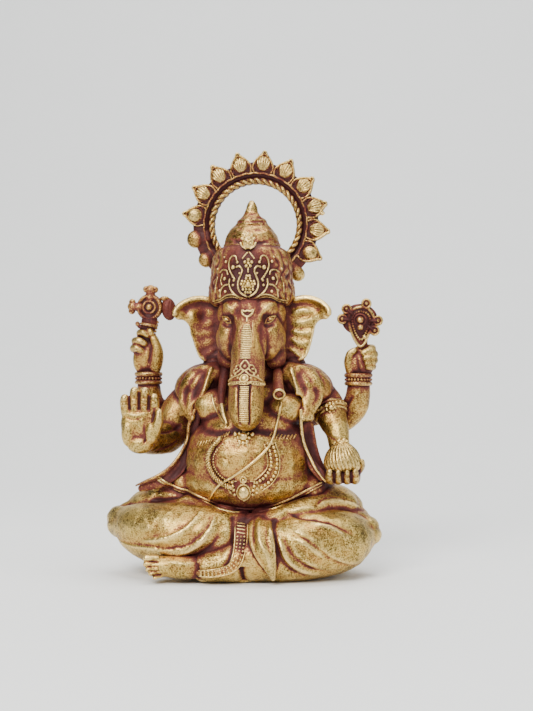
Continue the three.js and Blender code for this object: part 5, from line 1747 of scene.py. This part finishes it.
def laid_on(skins, stations, lift):
    """(x, z, half width) stations of a strip, brought to the skins and lifted off them."""
    return [(x, seen_first(skins, x, z)[1] - lift, z, w) for x, z, w in stations]


def make_sashes(skins):
    """The two cloth ends that hang in front: a plain leaf, and a ribbon with bars and beads."""
    bm = bmesh.new()
    leaf = [
        (4.8, 22.6, 3.4), (4.6, 18, 4.0), (5.8, 14.1, 4.1), (7.2, 9.6, 3.2), (8.4, 6.0, 2.1),
        (9.1, 2.6, 0.9)
    ]
    ribbon(bm, laid_on(skins, leaf, 1.5), 2.8)
    skin = Skin(bm, FINE_GRAIN, soften=3)
    skin.stroke([(4.2, 22), (4.4, 18), (5.4, 14), (7.8, 9.4), (9.1, 4.2)], 0.9, 0.6)
    skin.stroke([(2.8, 20), (2.6, 16), (4.2, 12.6)], 0.6, -0.4, stain_and_shade=0.15)
    skin.stroke([(6.6, 20), (7.4, 15), (8.8, 10)], 0.5, -0.4, sharp=True, stain_and_shade=0.3)
    skin.stroke([(2.2, 17.6), (3.2, 12.6), (5.6, 8.4), (8, 4.4)], 0.6, -0.3, stain_and_shade=0.3)
    cast("plain_tail", ["plain_sash"], "cloth_brass", skin, tone=0.1)

    bm = bmesh.new()
    strip = [(-1.9, 22.4, 2.2), (-1.5, 18, 2.3), (-1.4, 13.5, 2.25), (-2.0, 9.2, 2.0), (-3.8, 5.9, 1.7)]
    strip += [(-6.6, 4.5, 1.5), (-10.6, 4.0, 1.35), (-14.4, 4.0, 1.1)]
    ribbon(bm, laid_on(skins, strip, 0.1), 1.8)
    skin = Skin(bm, FINE_GRAIN, soften=1)
    detail = bmesh.new()
    centre = [
        (-1.8, 21.6), (-1.4, 18), (-1.3, 13.5), (-1.9, 9.2), (-3.5, 6.2), (-6.4, 4.7), (-10.6, 4.0),
        (-14.2, 3.9)
    ]
    halves = (1.85, 1.9, 1.85, 1.65, 1.35, 1.1, 1.0, 0.8)
    turns = ((1, 0), (1, 0), (1, -0.1), (0.95, -0.3), (0.75, -0.65), (0.3, -0.95), (0, -1), (0, -1))
    for share in (-1, 1):
        hem = [
            (x + share * w * nx, z + share * w * nz) for (x, z), w, (nx, nz) in zip(centre, halves, turns)
        ]
        skin.wire(detail, hem, 0.26)
    line = skin.lay(centre, "front", 24, 0.1, False)
    places = paced(line, 0.62)
    ways = np.gradient(places, axis=0)
    for k, (at, way) in enumerate(zip(places, ways)):
        across = np.array([-way[2], 0, way[0]]) / (math.hypot(way[0], way[2]) or 1)
        half = np.interp(k / len(places), [0, 0.5, 0.75, 1], [1.2, 1.15, 0.75, 0.5])
        if k < len(places) * 0.3:
            if k % 2 == 0:
                sweep(
                    detail, [at - across * half + (0, -0.1, 0.25), at + across * half + (0, -0.1, -0.25)],
                    0.19, 5
                )
        elif k % 2 == 0:
            for share in (-0.95, 0, 0.95):
                bead(detail, at + across * half * share, 0.33)
    cast("beaded_tail", ["ornate_sash"], "ornament_brass", skin, [(detail, -0.1)], tone=0.55)


def make_waist_cord(skins):
    """The double cord below the belly."""
    bm = bmesh.new()
    girdle = [
        (-30.4, 32.8), (-26.8, 30.7), (-22.8, 29.0), (-20.2, 28.6), (-16.8, 27.2), (-12.8, 25.6),
        (-9, 24.3), (-4.3, 23.3), (0.5, 23.0), (5.6, 23.5), (11.2, 25.2), (15.9, 27.4), (20.4, 29.6),
        (23.6, 31.4)
    ]
    base = bmesh.new()
    for drop, lift, thick, into in ((0.0, 0.3, 0.42, bm), (-0.9, 0.3, 0.36, bm), (-0.45, -0.1, 0.75, base)):
        line = np.array([seen_first(skins, x, z + drop) for x, z in curve(girdle, 6)])
        sweep(into, slackened(line, 4) - (0, lift, 0), thick, 8)
    cast("waist_strings", ["waist_cord"], "ornament_brass", None, [(bm, 0.1), (base, 0.9)])


def make_garland(body):
    """The garland, its jewel, and the rosette with dashes on the breast."""
    bm = bmesh.new()
    # one side is a rope of twisted strands, the other a double row of beads
    rope = body.lay(
        [(-8.6, 46), (-10.9, 43.6), (-12.3, 40.4), (-12, 37), (-10.2, 33.9), (-7.8, 31.8), (-5, 30.4)],
        "front", 8, 0.35, False
    )
    sweep(bm, rope, 0.75, 8)
    fine = paced(rope, 0.16)
    frames = frames_along(fine)
    for start in (0, 2.1, 4.2):
        strand = [
            p + 0.72 * (math.cos(k * 0.42 + start) * s + math.sin(k * 0.42 + start) * u) for k,
            (p, (s, u, _)) in enumerate(zip(fine, frames))
        ]
        sweep(bm, strand[::2], 0.36, 5)
    body.studs(
        bm, [(-7.6, 44.4), (-9.6, 42.4), (-10.7, 40), (-10.5, 37.2), (-9, 34.9), (-6.8, 33.2), (-4.8, 32)],
        0.36, 0.85
    )
    body.studs(
        bm, [(8.1, 44.6), (9.3, 41.2), (9.7, 38.1), (9.2, 35.4), (7.4, 32.5), (4.8, 30.6)], 0.62, 1.28
    )
    body.studs(bm, [(6.7, 44.6), (7.6, 41.2), (7.9, 38.3), (7.4, 36.1), (5.6, 33.8), (3.4, 32.2)], 0.6, 1.2)
    body.wire(bm, [(9.1, 44.8), (10.3, 41.2), (10.6, 38), (10, 34.9), (8, 31.7), (5.2, 29.6)], 0.26)
    body.wire(bm, [(5.8, 44.4), (6.6, 41), (6.9, 38.4), (6.4, 36.5), (4.8, 34.6), (2.6, 33)], 0.26)
    drops = [
        (3.4, 31.0, 0.62), (4.4, 30.2, 0.55), (3.1, 29.7, 0.6), (4.2, 28.9, 0.5), (2.9, 28.3, 0.5),
        (3.6, 32.2, 0.5)
    ]
    for side in (RIGHT, LEFT):
        for x, z, r in drops:
            body.stud(bm, JEWEL_MIDDLE + side * x, z, r)
        scroll = [(2.4, 32.6), (3.9, 32.5), (4.9, 31.2), (4.6, 29.2), (3.2, 27.9)]
        body.wire(bm, [(JEWEL_MIDDLE + side * x, z) for x, z in scroll], 0.24)
    cast("garland", ["necklace"], "ornament_brass", None, [(bm, 0.2)])

    bm = bmesh.new()
    spot = body.spot(JEWEL_MIDDLE, 29)
    ball(bm, spot[0] + spot[1] * 0.4, (1.75, 1.0, 2.15), across=22, down=14)
    angles = np.linspace(0, 2 * math.pi, 16, endpoint=False)
    rim = [(JEWEL_MIDDLE + 2.1 * math.sin(a), 29 + 2.5 * math.cos(a)) for a in angles]
    body.wire(bm, rim, 0.3, closed=True)
    for z, r in ((31.9, 0.55), (33.0, 0.62), (26.4, 0.45)):
        body.stud(bm, JEWEL_MIDDLE, z, r)
    ring(bm, body.spot(JEWEL_MIDDLE, 33.1)[0] + (0, -0.4, 0), 0.95, 0.28)
    cast("jewel", ["pendant"], "ornament_brass", None, [(bm, 0.0)])

    bm, dashes = bmesh.new(), bmesh.new()
    spot = body.spot(ROSETTE_MIDDLE, 46.6)
    for a in turn_angles(8):
        body.stud(bm, ROSETTE_MIDDLE + 1.7 * math.sin(a), 46.4 + 1.6 * math.cos(a), 0.7)
    ball(bm, spot[0] + spot[1] * 0.6, (1.4, 1.0, 1.4), across=14, down=10)
    for string in (
        [(-16.4, 44.2), (-13, 44.8), (-9.4, 46), (-6, 47.6)], [(7.6, 47.4), (11, 46.4), (15, 46.4)]
    ):
        for x, z in paced(curve(string, 5), 1.0):
            body.wire(dashes, [(x - 0.3, z - 0.55), (x + 0.3, z + 0.55)], 0.34, sides=6, per_span=2)
    for side in (RIGHT, LEFT):
        body.stud(bm, ROSETTE_MIDDLE + side * 2.6, 47.4, 0.8)
        body.wire(
            bm, [(ROSETTE_MIDDLE + side * 0.8, 45.2), (ROSETTE_MIDDLE + side * 1.5, 43.9)], 0.35, per_span=2
        )
    cast("breast_rosette", ["breast_jewel"], "ornament_brass", None, [(bm, -0.1), (dashes, 0.75)])


def make_thread(body):
    """The thread from the left shoulder across the belly."""
    bm = bmesh.new()
    line = [
        (10.4, 57.4), (9.6, 52.4), (8.4, 46.4), (6.3, 42.6), (2.4, 38.9), (-1.1, 36.2), (-5.2, 33.6),
        (-8.9, 31.2), (-10.9, 28.8), (-12.4, 26.4)
    ]
    lifted = body.lay(line, "front", 8, 0.0, False)
    share = np.linspace(0, 1, len(lifted))
    lift = np.interp(
        share, [0, 0.2, 0.32, 0.45, 0.7, 0.8, 0.9, 1], [0.5, 0.5, 0.9, 0.45, 0.45, 1.0, 0.6, 0.5]
    )
    lifted = slackened(lifted, 3)
    lifted[:, 1] -= lift
    sweep(bm, lifted, 0.52, 10)
    # the inner edge of the shawl over the right breast
    sweep(bm, body.lay([(-12.8, 60), (-11.6, 56.4), (-9.6, 53), (-6.8, 50.2)], "front", 6, 0.1), 0.4, 8)
    cast("thread", ["sacred_thread"], "ornament_brass", None, [(bm, 0.0)])


# ---------------------------------------------------------------- camera, floor and light


def make_camera():
    """A portrait view a little from the figure's left, level with its chest."""
    distance, turn, rise = 420.0, math.radians(5.0), 67.0
    aside = 4.3  # the figure stands this far left of the picture's middle
    lens_angle = math.radians(32.5)
    camera = bpy.data.cameras.new("camera")
    camera.sensor_width = 36
    camera.lens = 18 / math.tan(lens_angle / 2)
    camera.clip_start, camera.clip_end = 0.01, 10
    holder = bpy.data.objects.new("camera", camera)
    bpy.context.scene.collection.objects.link(holder)
    across = Vector((math.cos(turn), math.sin(turn), 0))
    back = Vector((math.sin(turn), -math.cos(turn), 0))
    holder.location = (back * distance + across * aside + Vector((0, 0, rise))) * MM
    holder.rotation_euler = (math.radians(90.9), 0, turn)
    bpy.context.scene.camera = holder


def make_floor():
    """A wide pale table top that rises behind into a plain backdrop."""
    bm = bmesh.new()
    arc = [(0.25 + 0.9 * math.sin(a), 0.9 - 0.9 * math.cos(a)) for a in np.linspace(0, math.pi / 2, 40)]
    line = [(-0.9, 0), *arc, (1.15, 2.4)]
    verts = [bm.verts.new((-1.6, y, z)) for y, z in line]
    edges = [bm.edges.new(pair) for pair in zip(verts, verts[1:])]
    drawn = bmesh.ops.extrude_edge_only(bm, edges=edges)["geom"]
    bmesh.ops.translate(bm, vec=(3.2, 0, 0), verts=[v for v in drawn if isinstance(v, bmesh.types.BMVert)])
    bmesh.ops.recalc_face_normals(bm, faces=bm.faces)
    mesh = bpy.data.meshes.new("floor")
    bm.to_mesh(mesh)
    bm.free()
    mesh.shade_smooth()
    floor = bpy.data.objects.new("floor", mesh)
    bpy.context.scene.collection.objects.link(floor)
    material = bpy.data.materials.new("pale_floor")
    material.use_nodes = True
    n = Nodes(material.node_tree)
    shader = material.node_tree.nodes["Principled BSDF"]
    place = n.add("ShaderNodeTexCoord").outputs["Object"]
    n.feed(
        shader.inputs["Base Color"],
        n.blend(n.noise(place, 60), (0.84, 0.85, 0.845, 1), (0.87, 0.88, 0.875, 1))
    )
    shader.inputs["Roughness"].default_value = 0.75
    mesh.materials.append(material)


def area_light(name, at, aim, size, power, colour):
    """A rectangular soft light aimed at a place."""
    lamp = bpy.data.lights.new(name, "AREA")
    lamp.shape = "RECTANGLE"
    lamp.size, lamp.size_y = size
    lamp.energy = power
    lamp.color = colour
    holder = bpy.data.objects.new(name, lamp)
    bpy.context.scene.collection.objects.link(holder)
    holder.location = at
    holder.rotation_euler = (Vector(aim) - Vector(at)).to_track_quat("-Z", "Y").to_euler()


def make_light():
    """A broad soft light above the front, one from overhead, a weaker one from the figure's left, one on
    the backdrop, and a grey room.
    """
    area_light("window", (-0.25, -0.8, 0.7), (0, 0, 0.05), (0.6, 0.45), 15.5, (1.0, 0.985, 0.96))
    area_light("ceiling", (0.15, -0.1, 1.0), (0, 0, 0.05), (0.7, 0.7), 6.5, (1.0, 0.99, 0.97))
    area_light("side", (0.9, -0.35, 0.4), (0, 0, 0.07), (0.5, 0.7), 3.0, (0.97, 0.985, 1.0))
    area_light("wall", (0, 0.3, 1.5), (0, 1.15, 0.45), (1.6, 0.5), 16.0, (1.0, 1.0, 0.99))
    room = bpy.data.worlds.new("room")
    room.use_nodes = True
    bpy.context.scene.world = room
    ground = room.node_tree.nodes["Background"]
    ground.inputs["Color"].default_value = (0.62, 0.64, 0.66, 1)
    ground.inputs["Strength"].default_value = 0.45


make_camera()
make_floor()
make_light()
body = make_torso()
right_leg, left_leg = make_right_leg(), make_left_leg()
face = make_head()
make_trunk_band(face)
make_tusks()
hair = make_headdress()
make_tiara(hair)
make_crown()
make_halo_band()
for number in range(1, PETAL_COUNT + 1):
    make_petal(number)
make_right_arm()
make_left_arm()
shawls = []
for side in (RIGHT, LEFT):
    make_ear(side)
    make_rear_arm(side)
    shawls.append(make_shawl(side))
make_foot()
make_sashes([body, right_leg, left_leg])
make_waist_cord([body, right_leg, left_leg, *shawls])
make_garland(body)
make_thread(body)
settle_patina()
